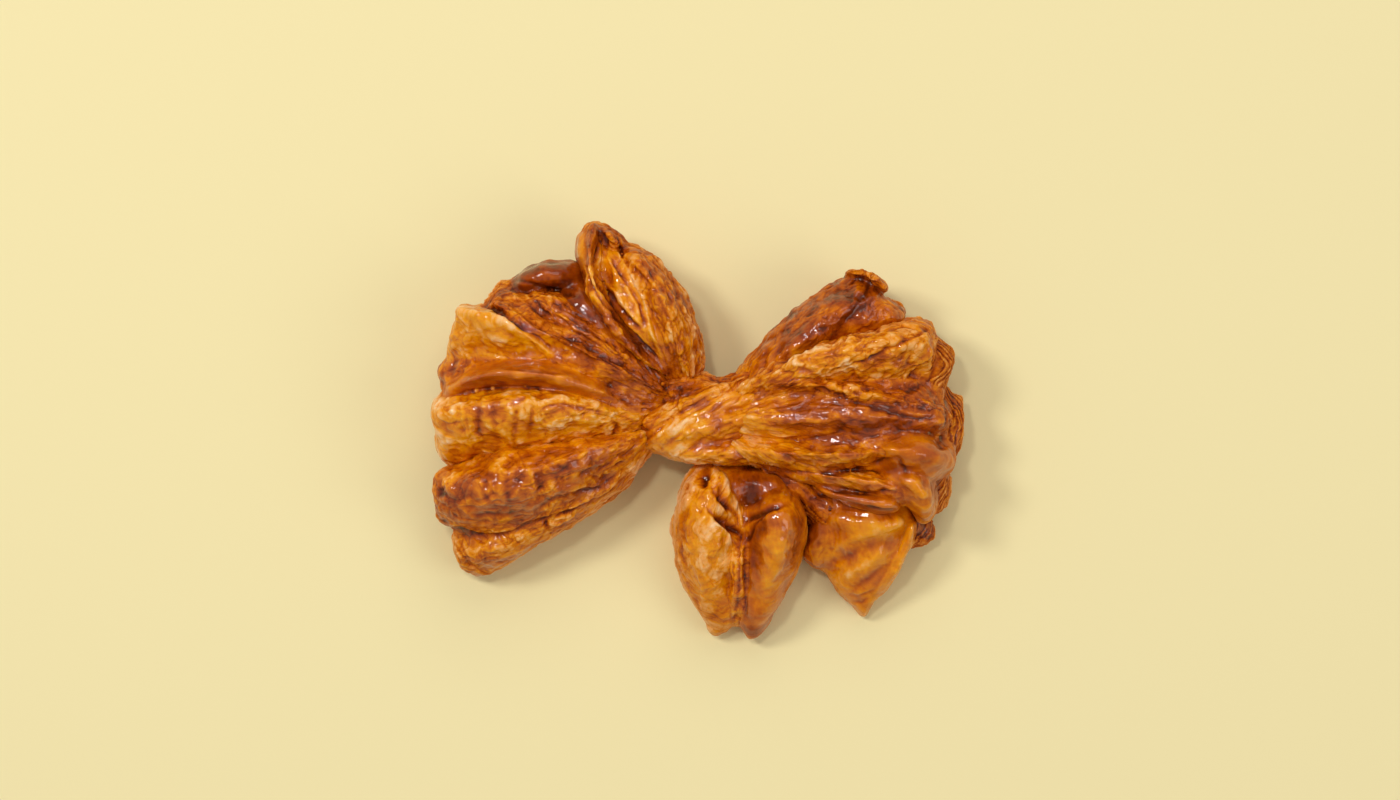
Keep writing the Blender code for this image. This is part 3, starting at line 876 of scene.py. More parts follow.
@dataclass
class Leaf(DoughPiece):
    """The tall pointed leaf at the back of the left fan, with its sunken glazed middle."""

    name: str = "leaf"
    pleats: tuple[Pleat, ...] = (
        Pleat(((-3.6, 14), (-11, 37), (-22.6, 55.2)), (6, 7.5, 4.6), (28, 40, 33), (6, 4, 12),
              Crust.SCALY, 0.42, tip=0.5),
        Pleat(((-6, 14), (-27.5, 33.5), (-33, 60)), (2.6, 3, 3.2), (28, 41, 37), (8, 8, 14),
              Crust.GLAZED, 0.52, fold=0.6),
        Pleat(((-4, 15), (-19.5, 36), (-29.5, 57)), (6, 8, 3.4), (27, 37.5, 31), (6, 5, 14),
              Crust.GLAZED, 0.38, tip=0.6),
        Pleat(((-31, 60.6), (-26.8, 58), (-22.6, 54)), (1.5, 2.6, 2), (31, 34, 30), (16, 14, 14),
              Crust.FLAKY, 0.5, tip=0.6, seam=0.5),
        Pleat(((-33, 52), (-33, 58), (-31.3, 63)), (3, 2.4, 0.9), (38, 36, 31), (14, 14, 20),
              Crust.FLAKY, 0.5, fold=0.5, seam=0.4),
        Pleat(((-34, 47), (-35.6, 53.5), (-35.1, 59.2)), (1.5, 2, 1.5), (30, 32, 29), (12, 12, 14),
              Crust.SMOOTH, 0.5, tip=0.3),
    )
    strokes: tuple[Stroke, ...] = (
        Stroke(((-31.2, 61.5), (-33, 54), (-33, 48), (-31.2, 42.5), (-24.6, 34.2), (-18, 28.4),
               (-11, 21)), 0.5, 0.9, 0.2, Mark.RIDGE),
        Stroke(((-30, 58), (-31.4, 50), (-30, 43.5), (-23.6, 35.6), (-17, 29.4)), 0.5, 1.0, 0.4),
        Stroke(((-29.4, 57), (-30.2, 50), (-28.8, 44.2), (-22.6, 36.8), (-16, 30)), 0.5, 0.8, 0.15,
               Mark.RIDGE),
        Stroke(((-34.6, 57), (-34.6, 50), (-33, 43.6), (-27, 36), (-20, 29.6), (-12, 21)), 0.6, 1.4,
               0.3),
        Stroke(((-31, 50), (-27, 45), (-22, 38)), 3.8, 1.9, -0.02),
        Stroke(((-26, 55), (-21, 47), (-16.5, 38.5), (-15, 30), (-11, 21)), 0.7, 1.1, 0.25, Mark.RIDGE),
        Stroke(((-27.4, 53), (-22.6, 46), (-18, 38), (-16.4, 30)), 0.6, 1.2, 0.4),
        # Painted shade in the dark hollow inside the tip.
        Stroke(((-30, 61), (-29, 57.5), (-27.5, 54)), 0.9, 2.2, 0.6),
        Stroke(((-27, 60), (-24, 56), (-23.5, 52), (-25, 49)), 0.5, 0.9, 0.3),
        Stroke(((-21, 51), (-13, 42), (-8, 32), (-3, 22)), 0.6, 0.8, 0.2, Mark.SHEET),
        Stroke(((-15, 51), (-8, 42), (-3, 32), (-0.5, 24)), 0.6, 0.8, 0.2, Mark.SHEET),
    )
    seed: int = 11
    pale_root: float = 0.15


@dataclass
class LeftPleats(DoughPiece):
    """The dark roll, the flaky ridges, the shiny flap, the smooth band and the broad panel."""

    name: str = "left_pleats"
    pleats: tuple[Pleat, ...] = (
        Pleat(((-6, 13), (-28, 31), (-41, 43.5)), (4, 7.5, 7), (26, 36, 29), (6, 4, 6), Crust.SMOOTH,
              0.96, tip=0.5),
        Pleat(((-35, 45.4), (-45, 46.6), (-56, 42.6)), (5, 4.6, 3.2), (28, 31, 29), (6, 6, 8),
              Crust.SMOOTH, 0.95, fold=0.1),
        Pleat(((-8, 13), (-32, 29), (-52, 41.5)), (3, 5, 4.5), (29, 39.5, 33), (8, 6, 8), Crust.FLAKY,
              0.46, 0.2, 0.4, 0.4),
        Pleat(((-6, 11), (-36, 26), (-62.4, 41.2)), (4, 4.6, 6.8), (28, 43, 35), (8, 5, 5),
              Crust.FLAKY, 0.5, 0.4, 0.8, 0.25),
        Pleat(((-38, 21), (-55, 25), (-75.3, 29.4)), (4, 7.5, 10.5), (36, 43, 37), (8, 6, 6),
              Crust.GLAZED, 0.23, -0.8, 0.6, 0.2),
        Pleat(((-16, 9), (-30, 17), (-47, 20.5)), (4, 6, 5), (32, 40, 39), (8, 6, 6), Crust.GLAZED,
              0.5, -0.5, 0.4, 0.5, 0.3),
        Pleat(((-55, 17), (-67, 17.6), (-78.6, 15.2)), (5, 7, 4.5), (34, 33, 25), (6, 6, 8),
              Crust.GLAZED, 0.55, tip=0.3, seam=0.3),
        Pleat(((-18, 6), (-50, 17), (-76, 11.5)), (2.5, 3.5, 3), (34, 46, 38), (20, 20, 20),
              Crust.SMOOTH, 0.6, fold=0.2, tip=0.5),
        Pleat(((-18, 1), (-48, 3), (-79.8, -1)), (4, 11.3, 11), (32, 45, 37), (8, 4, 6),
              Crust.WRINKLED, 0.25, -0.5, 0.35, 0.2),
        Pleat(((-8, 5), (-42, 13), (-72, 8)), (8, 19, 22), (26, 37.5, 31), (6, 5, 6), Crust.GLAZED,
              0.6, tip=0.4, seam=0.0),
    )
    strokes: tuple[Stroke, ...] = (
        Stroke(((-57, 46), (-50, 44), (-46, 42.5), (-40, 41), (-36, 40)), 0.7, 0.9),
        Stroke(((-25, 24), (-33, 29), (-40, 31.5), (-46, 34.5), (-50, 39), (-55, 43)), 0.6, 0.8,
               mark=Mark.SHEET),
        Stroke(((-30, 25), (-39, 30), (-47, 33.5), (-53, 38.5)), 0.5, 0.6, mark=Mark.SHEET),
        Stroke(((-20, 18), (-30, 22.5), (-38, 27.5), (-46, 30), (-52, 34)), 0.8, 1.2),
        # Painted shade in the valley under the flaky ridge; a painted highlight on the reddish facet
        # further down.
        Stroke(((-30, 20), (-40, 24), (-46, 25), (-55, 32)), 1.8, 1.0, 0.12),
        Stroke(((-43, 22.5), (-47, 25.6), (-52, 29.4), (-58, 33.4), (-64, 36.6), (-70, 38.8)), 0.6,
               2.4, 0.4, Mark.SHEET),
        Stroke(((-73, 25), (-70, 22.5), (-66, 18.5)), 0.7, 0.6, 0.1, Mark.RIDGE),
        Stroke(((-66, 18.5), (-60, 19), (-50, 18), (-45, 17.5), (-38, 17)), 0.7, 0.8),
        Stroke(((-75, 10), (-70, 11.6), (-65, 12.6), (-56, 13.2), (-46, 12.4), (-36, 9.6)), 0.5, 0.5,
               0.2),
        Stroke(((-70, 10.6), (-66, 9.3), (-60, 10.7), (-55, 9.6), (-50, 10.6), (-45, 10)), 0.5, 0.6,
               mark=Mark.SHEET),
        Stroke(((-46, 7.5), (-40, 8), (-32, 6), (-27, 4), (-25, 1), (-27, -4)), 0.8, 0.7),
        Stroke(((-65.5, 9), (-66.5, 2), (-65, -5)), 1.1, 0.6, 0.4),
        Stroke(((-61, 9), (-61.5, 3), (-60.5, -6)), 1.4, 0.5, 0.4),
        Stroke(((-55.5, 9), (-54.5, 3), (-56, -5)), 1.2, 0.6, 0.4),
        Stroke(((-50.5, 8), (-50, 3), (-51.5, -3)), 1.0, 0.5, 0.35),
    )
    seed: int = 12


@dataclass
class Panels(DoughPiece):
    """The lower panel and the wedge under it, at the front of the left fan."""

    name: str = "panels"
    pleats: tuple[Pleat, ...] = (
        Pleat(((-16, -1), (-47, -14), (-80.2, -20.4)), (4, 10, 9.6), (30, 42, 33), (10, 12, 9),
              Crust.WRINKLED, 0.5, -0.3, 0.3, 0.35),
        Pleat(((-13, -2), (-43.6, -23.9), (-75.2, -37.2)), (1.5, 7.2, 7.2), (24, 27, 20), (4, 0, 0),
              Crust.FLAKY, 0.32, 0.3, 0.4, 0.28),
        Pleat(((-34, -18.5), (-54, -26.5), (-75, -29.8)), (2, 3.4, 3.4), (24, 28, 21), (6, 4, 4),
              Crust.FLAKY, 0.45, seam=0.0),
        Pleat(((-50, -30), (-62, -37.8), (-69.6, -42.9)), (4, 4.2, 1.8), (25, 19, 10), (4, 2, 2),
              Crust.GLAZED, 0.42, 0.2, 0.2, 0.3, 0.2),
        Pleat(((-18, -2), (-44, -6.5), (-70, -9.5)), (3, 4.5, 4), (29, 39, 31), (10, 12, 12),
              Crust.GLAZED, 0.52, fold=0.1, seam=0.0),
    )
    strokes: tuple[Stroke, ...] = (
        Stroke(((-70, -25), (-58, -25.5), (-50, -24), (-43, -20), (-35, -18), (-28, -16.5)), 0.7, 0.8),
        # The next strokes paint shade below the sheet edge, in the hollow at the panel's left end and in
        # the dark hole.
        Stroke(((-75, -28), (-65, -31.5), (-57, -30), (-50, -26.5), (-40, -24), (-30, -19.5),
               (-22, -13)), 0.7, 1.3, 0.4, Mark.SHEET),
        Stroke(((-78.5, -16.5), (-77.5, -20.5)), 1.6, 1.8, 0.5),
        Stroke(((-46.5, -27), (-45.8, -30)), 0.9, 2.0, 0.7),
        Stroke(((-75, -33), (-72.5, -37), (-70, -41)), 0.5, 0.5),
        Stroke(((-73, -32.5), (-70.5, -37), (-68.5, -41.5)), 0.5, 0.5, mark=Mark.SHEET),
        Stroke(((-63.5, -12), (-64.5, -18), (-62.5, -23)), 1.1, 0.6, 0.35),
        Stroke(((-57, -11), (-58, -18), (-56, -23)), 1.0, 0.5, 0.35),
        Stroke(((-49, -10), (-48, -16), (-49.5, -21)), 1.2, 0.5, 0.35),
        Stroke(((-44, -10), (-38, -12), (-30, -12)), 0.9, 0.5, 0.12),
    )
    seed: int = 14


@dataclass
class BackLobe(DoughPiece):
    """The big dark lobe at the back of the right fan, with its curled end."""

    name: str = "back_lobe"
    pleats: tuple[Pleat, ...] = (
        Pleat(((8.5, 8.5), (32, 27.3), (54, 41.5)), (4, 9, 9.5), (26, 37, 33), (6, 4, 7), Crust.GLAZED,
              0.7, tip=0.4),
        Pleat(((38, 28), (51, 33), (61.4, 33.4)), (6, 7.5, 3.4), (33, 35, 30), (6, 5, 7), Crust.GLAZED,
              0.66, tip=0.4, seam=0.3),
        Pleat(((43.5, 47.4), (50.2, 46.8), (56, 42.4)), (1.1, 1.2, 1), (33, 35, 32.5), (16, 16, 16),
              Crust.FLAKY, 0.45, tip=0.4),
    )
    strokes: tuple[Stroke, ...] = (
        Stroke(((47.5, 44.5), (46.5, 40), (46, 37)), 0.7, 0.6, 0.1, Mark.RIDGE),
        Stroke(((52, 46), (46, 35), (41, 29)), 1.2, 0.9, 0.2),
        Stroke(((20, 22), (28, 27), (36, 29.5)), 1.5, 0.6, 0.1),
        Stroke(((57, 41), (60, 37), (64, 34)), 0.7, 0.7),
    )
    root: Spot = (2.0, 3.0)
    seed: int = 15
    pale_root: float = 0.2


@dataclass
class RightPleats(DoughPiece):
    """The crest lobe, the winding ridge, the red panel, the front lobe, its fist and the lip."""

    name: str = "right_pleats"
    pleats: tuple[Pleat, ...] = (
        Pleat(((6, 8), (38, 19.5), (70.4, 24.2)), (4, 8, 10), (27, 46, 42), (8, 5, 8), Crust.SCALY,
              0.34, 0.4, 0.3, 0.2),
        Pleat(((56, 20), (65, 20), (74.2, 17)), (8, 9.5, 7.6), (36, 35, 30), (6, 5, 8), Crust.TORN,
              0.55, tip=0.2, seam=0.5),
        Pleat(((16, 15), (42, 12.5), (74, 5.5)), (1.6, 2.4, 2.4), (36, 43, 36), (20, 20, 16),
              Crust.FLAKY, 0.52, fold=0.4, seam=0.6),
        Pleat(((-2, 2), (36, 4), (75, 3)), (6, 7.4, 6), (27, 42, 35), (8, 5, 8), Crust.GLAZED, 0.64,
              fold=0.2, tip=0.3),
        Pleat(((58, 3.5), (69, 2), (79.8, 0.4)), (9, 11, 10), (30, 28, 22), (6, 3, 6), Crust.TORN,
              0.58, tip=0.3, seam=0.6),
        Pleat(((-4, -4), (31, -7.5), (60, -6)), (4, 5.4, 5), (26, 41, 42), (8, 5, 8), Crust.GLAZED,
              0.51, 0.1, 0.5, 0.5),
        Pleat(((28, -2.4), (47, -1.6), (66, -2)), (2.4, 3.2, 3), (34, 39.5, 37), (10, 10, 10),
              Crust.GLAZED, 0.6, seam=0.0),
        Pleat(((48, -6), (62, -7), (76.8, -11)), (5, 7.8, 5), (38, 44, 32), (8, 8, 10), Crust.SHEET,
              0.6, 0.1, 0.3, 0.35),
        Pleat(((24, -13), (45, -15), (64, -19.5)), (2.5, 3.6, 4), (31, 38, 36), (10, 8, 8),
              Crust.GLAZED, 0.44, 0.2, 0.5, 0.5),
        Pleat(((35, -17), (47, -20.8), (59, -22.2)), (2, 2.5, 2), (32, 35, 35), (20, 22, 22),
              Crust.SMOOTH, 0.68, tip=0.5),
        Pleat(((54, -12), (65, -17.5), (67.5, -28)), (5, 6, 2.6), (37, 39, 29), (6, 4, 6), Crust.SHEET,
              0.57, tip=0.5),
        Pleat(((65, -10), (72.6, -15.5), (71.4, -25)), (4, 3.8, 2.6), (28, 26, 20), (4, 3, 4),
              Crust.TORN, 0.55, tip=0.4),
        Pleat(((4, 4), (38, 8), (72, 8)), (8, 16, 15), (25, 39, 34.5), (6, 4, 6), Crust.GLAZED, 0.6,
              tip=0.4, seam=0.0),
    )
    strokes: tuple[Stroke, ...] = (
        Stroke(((45, 20), (50, 21), (55, 23.5), (60, 26), (65, 29), (70, 31.5)), 0.7, 1.0, 0.4),
        Stroke(((70.5, 31), (71, 25), (70.5, 20), (69, 15)), 0.7, 1.1, 0.35),
        Stroke(((60, 17), (66, 24)), 4.0, 1.8, 0.0),
        Stroke(((58, 13.5), (64, 13), (70, 15)), 1.2, 1.2, 0.3),
        Stroke(((20, 19), (30, 20), (35, 18), (38, 14), (46, 10), (52, 10.5), (57, 8), (62, 5),
               (72, 5)), 0.8, 0.7, 0.1, Mark.RIDGE),
        Stroke(((35, 13), (40, 11), (46, 8.5), (50, 7.5), (57, 5.5), (65, 3.6), (70, 3.4)), 0.7, 0.9,
               0.3),
        Stroke(((60, 7), (65, 8.5), (70, 8), (75, 6)), 0.7, 0.6, 0.1, Mark.RIDGE),
        Stroke(((18, 11), (24, 12.5), (30, 13)), 2.0, 0.4, 0.25),
        Stroke(((76, 12), (77, 5), (75, -2)), 0.5, 0.6),
        Stroke(((73.5, 11), (74, 4), (72.5, -1)), 0.5, 0.6),
        # Painted shade in the dark cavity beside the fist's end.
        Stroke(((72, -1.5), (73, -6)), 1.5, 2.0, 0.5),
        Stroke(((14, -3.5), (30, -3), (38, -1.5), (42, 0), (50, -2), (60, 0), (68, 0), (72, -3)), 0.5,
               0.4, 0.1),
        Stroke(((8, -9), (22, -11.5), (27, -13), (35, -13), (40, -12.5), (47, -11.5), (55, -9),
               (59, -8)), 0.7, 1.1, 0.35),
        Stroke(((59, -8), (60, -10), (62, -13)), 0.7, 0.8),
        Stroke(((62, -13.5), (66, -17), (67, -23)), 0.9, 0.6, 0.0, Mark.RIDGE),
        # Painted shadow under the dark tube.
        Stroke(((38, -20.5), (42, -22.5), (50, -23.5), (56, -24.3), (60, -24)), 0.9, 1.6, 0.5),
        Stroke(((34, -16), (40, -18), (50, -18.6), (58, -18.6)), 0.7, 0.9),
        Stroke(((64, -27), (67, -30)), 1.4, 1.8, 0.5),
    )
    root: Spot = (2.0, 3.0)
    seed: int = 16
    fill: int = 60
    pale_root: float = 0.16


@dataclass
class HangingFlap(DoughPiece):
    """The broad flap that hangs forward from the right fan, with its fold and hem."""

    name: str = "hanging_flap"
    pleats: tuple[Pleat, ...] = (
        Pleat(((46, -6), (48.1, -30), (49.7, -57)), (15, 16.8, 0.9), (23, 25, 8), (4, 2, 0),
              Crust.SHEET, 0.46, 0.3, 0.2, 0.3),
        Pleat(((37, -26), (34.9, -34.5), (36.6, -42)), (3, 4.4, 1.6), (22, 20, 15), (4, 2, 2),
              Crust.SHEET, 0.58, tip=0.3, seam=0.0),
        Pleat(((34, -24), (48, -27), (62, -27.5)), (4, 5, 3.4), (23, 26.5, 27), (6, 4, 8), Crust.SHEET,
              0.46, 0, 0.1, 0.5, 0.0),
        Pleat(((64, -27.5), (61.2, -38.2), (53.8, -51)), (1.2, 1.5, 1.2), (26, 20.5, 11), (12, 6, 2),
              Crust.SHEET, 0.42, fold=0.1, seam=0.2),
        Pleat(((52, -20), (62, -27.8), (71, -31)), (6, 7.5, 3.4), (20, 18, 12), (2, 0, 3), Crust.TORN,
              0.6, tip=0.4),
    )
    strokes: tuple[Stroke, ...] = (
        Stroke(((41, -35), (46, -33.5), (54, -31), (62, -28)), 1.6, 0.9, 0.1, Mark.SHEET),
        # Painted highlights along the flap's fold ridges and painted shade in the folds between them.
        Stroke(((61, -29), (50, -31.5), (40, -36)), 2.2, 0.9, 0.3, Mark.RIDGE),
        Stroke(((59, -33), (48, -36.5), (38, -41.5)), 1.5, 0.9, 0.2),
        Stroke(((58, -36), (49, -41), (42, -45)), 1.5, 0.8, 0.3, Mark.RIDGE),
        Stroke(((56, -41), (50, -45.5), (45, -49.5)), 1.2, 0.7, 0.2),
        Stroke(((45, -49.5), (48, -50), (53, -48)), 0.5, 0.5, 0.2, Mark.SHEET),
        Stroke(((46, -52), (49, -52.5), (51, -51)), 0.5, 0.4, 0.2),
        Stroke(((62.5, -30), (60, -36), (56.5, -43), (52, -50.5)), 0.7, 0.5, 0.1, Mark.SHEET),
        # Painted shadow in the fold at the flap's left side and in the shaded corner above it.
        Stroke(((33.5, -24), (33, -30), (34, -36)), 2.6, 1.2, 0.25),
        Stroke(((30, -17), (36, -21), (40, -23)), 1.2, 1.0, 0.25),
    )
    root: Spot = (46.0, 6.0)
    seed: int = 18


@dataclass
class Petals(DoughPiece):
    """The two petals that hang forward beside the waist."""

    name: str = "petals"
    pleats: tuple[Pleat, ...] = (
        Pleat(((4.5, -9), (1.7, -33.5), (5.3, -61.8)), (6, 10.4, 1.3), (25, 32, 9), (2, 0, 2),
              Crust.PETAL, 0.24, 0.1, 0.1, 0.4),
        Pleat(((22.5, -18), (22.2, -33.4), (15.2, -64)), (6, 9.6, 1.1), (26, 36, 9), (2, 0, 2),
              Crust.SHEET, 0.56, 0.1, 0.1, 0.4),
        Pleat(((2.5, -46), (5.6, -54.5), (5.8, -61)), (4, 5.8, 2.2), (22, 17, 9), (2, 2, 2),
              Crust.PETAL, 0.34, seam=0.0),
        Pleat(((18, -47), (16.8, -55.5), (15.4, -63)), (4.6, 5.2, 1.4), (24, 18, 9), (2, 2, 2),
              Crust.SHEET, 0.62, seam=0.0),
        Pleat(((12, -22), (12, -42), (10.4, -59)), (5, 4.2, 2.2), (24, 27, 9), (2, 0, 2), Crust.FLAKY,
              0.22),
        # Its dark tone is painted shadow from the waist over the recess.
        Pleat(((0, -12), (12, -17), (26, -15)), (4, 8, 5), (23, 25, 26), (4, 3, 4), Crust.SMOOTH, 0.72),
    )
    strokes: tuple[Stroke, ...] = (
        Stroke(((10.3, -56), (11.2, -45), (11, -37), (8.5, -31), (4, -26), (1, -23)), 0.6, 1.3, 0.4,
               Mark.SHEET),
        Stroke(((13.6, -57), (13.8, -45), (13.8, -34), (16, -28), (20, -24)), 0.6, 0.9, 0.3),
        # The next strokes paint shade in the gap and the recess between the petals and the waist, and in
        # the hole at the waist.
        Stroke(((12.5, -36), (12, -31), (8.5, -28), (4, -25.5)), 1.6, 3.2, 0.9),
        Stroke(((9.5, -33), (8, -30), (3.5, -27)), 0.5, 1.0, 0.2, Mark.RIDGE),
        Stroke(((6, -14.5), (6.5, -20), (11, -25.5)), 1.2, 1.6, 0.6),
        Stroke(((15, -14), (15.5, -19), (15, -24)), 3.2, 1.4, 0.35),
        Stroke(((13.5, -27.5), (17, -25), (21, -22.8), (26, -22)), 0.9, 2.4, 0.7),
        Stroke(((3.6, -11.8), (0.8, -13.6), (0.2, -17.4)), 1.7, 4.2, 1.2),
        Stroke(((7.5, -14), (8.5, -18), (9, -22), (12.5, -26)), 0.7, 0.8, 0.1, Mark.RIDGE),
        Stroke(((24, -13), (25.5, -17), (24, -21)), 0.6, 0.6, 0.1, Mark.RIDGE),
        Stroke(((26.5, -12.5), (28, -17), (27, -22)), 0.5, 0.6, 0.3),
        Stroke(((3, -17), (6.5, -21), (11, -25)), 0.7, 0.8, 0.3),
        Stroke(((-3.5, -15.5), (-4.5, -18)), 0.5, 0.6, 0.5),
        Stroke(((3, -52), (6, -57), (7, -60)), 3.0, 0.0, 0.35),
        Stroke(((15.8, -59), (15.6, -61), (15.4, -64)), 3.0, 0.0, 0.5),
        # Painted shade along the crack and the right edge of the right petal, and a painted highlight
        # down its middle.
        Stroke(((20, -24), (16, -33), (15.2, -44)), 2.8, 0.5, 0.5),
        Stroke(((29, -24), (30.5, -32), (26.5, -43)), 2.0, 0.3, 0.45),
        Stroke(((22.5, -28), (23.5, -37), (19.5, -50)), 3.0, 0.5, 0.35, Mark.RIDGE),
        Stroke(((-5, -24), (-7, -34), (-4, -46), (1, -56)), 2.2, 0.3, 0.3),
    )
    root: Spot = (13.0, 2.0)
    seed: int = 19


@dataclass
class Waist(DoughPiece):
    """The twisted strands that join the two fans."""

    name: str = "waist"
    pleats: tuple[Pleat, ...] = (
        Pleat(((-16, 13), (-2, 14.8), (9.2, 12.4)), (2.5, 2.8, 1.8), (30, 28, 23), (12, 10, 10),
              Crust.FLAKY, 0.5, fold=0.5),
        Pleat(((-14, 9.5), (-1, 11.8), (9, 11.5)), (1.8, 2, 1.6), (29, 31, 29), (12, 12, 12),
              Crust.FLAKY, 0.5, fold=0.4),
        Pleat(((-21, -1), (-4, 7.5), (20, 18)), (3, 3.8, 3), (27, 33, 31), (8, 6, 8), Crust.FLAKY,
              0.26, 0.3, 0.2, 0.6),
        Pleat(((-20, -5), (-1, 4.5), (28, 15)), (3, 4.6, 3.6), (26, 34, 33), (8, 6, 8), Crust.GLAZED,
              0.2, -0.2, 0.2, 0.6),
        Pleat(((-15, -6), (4, 0.5), (34, 5)), (2.8, 5, 4), (26, 35.5, 32.5), (8, 6, 8), Crust.GLAZED,
              0.13, 0.3, 0.1, 0.6),
        Pleat(((-13, -5), (3, -6.2), (28, -7)), (3, 4.8, 3.4), (25, 32, 31.5), (8, 4, 6), Crust.GLAZED,
              0.16, 0, 0.1, 0.6),
        Pleat(((-24, 5), (-3, 3), (18, 2)), (7, 8, 8), (27, 27, 27), (3, 3, 3), Crust.FLAKY, 0.45,
              fold=0.1, seam=0.0),
    )
    strokes: tuple[Stroke, ...] = (
        Stroke(((-19, -5), (-8, 4), (5, 12)), 0.7, 0.7, 0.2),
        Stroke(((-12, -6), (0, 4), (8, 9)), 0.7, 0.7, 0.2),
        Stroke(((-8, -9), (2, -2), (12, 4)), 0.6, 0.6, 0.2),
        Stroke(((-16, -5.5), (-5, 3.8), (6, 10.5)), 0.5, 0.4, 0.1),
        Stroke(((-20, -2), (-17, -6)), 1.2, 0.6, 0.1),
    )
    root: Spot = (-70.0, -50.0)
    seed: int = 20
    dark_end: float = 0.2


def foot_row(root: Spot, ends: tuple[Spot, ...]) -> tuple[Pleat, ...]:
    """The lower row of pleats that a fan stands on.

    Args:
        root: where they start, in the waist.
        ends: what each of them points to.

    Returns:
        The pleats.
    """
    row = []
    for end in ends:
        start, stop = Vector(root), Vector(end)
        path = (tuple(start), tuple(start.lerp(stop, 0.55)), tuple(start.lerp(stop, 0.95)))
        row.append(Pleat(path, (4, 8.4, 9.4), (20, 25, 20), (2, -2, -1), fold=0.2, tip=0.3,
                         crust=Crust.TORN, tone=0.66, seam=0.5))
    return tuple(row)


@dataclass
class LeftBase(DoughPiece):
    """The lower half of the left fan, on which it stands."""

    name: str = "left_base"
    pleats: tuple[Pleat, ...] = (
        Pleat(((-10, 4), (-42, 8), (-72, 4)), (7, 19, 22), (13, 15, 13), (-4, -7, -5), Crust.TORN, 0.6,
              tip=0.4, seam=0.0),
        *foot_row((-8, 6), ((-28, 54), (-56, 42), (-77, 23), (-80, 0), (-78, -24))),
    )
    seed: int = 21
    coarse: float = 1.5


@dataclass
class RightBase(DoughPiece):
    """The lower half of the right fan, on which it stands."""

    name: str = "right_base"
    pleats: tuple[Pleat, ...] = (
        Pleat(((6, 3), (38, 6), (70, 2)), (7, 18, 21), (13, 15, 13), (-4, -7, -5), Crust.TORN, 0.6,
              tip=0.4, seam=0.0),
        *foot_row((6, 2), ((50, 42), (72, 21), (79, 2), (70, -21), (52, -34))),
    )
    root: Spot = (2.0, 3.0)
    seed: int = 22
    coarse: float = 1.5


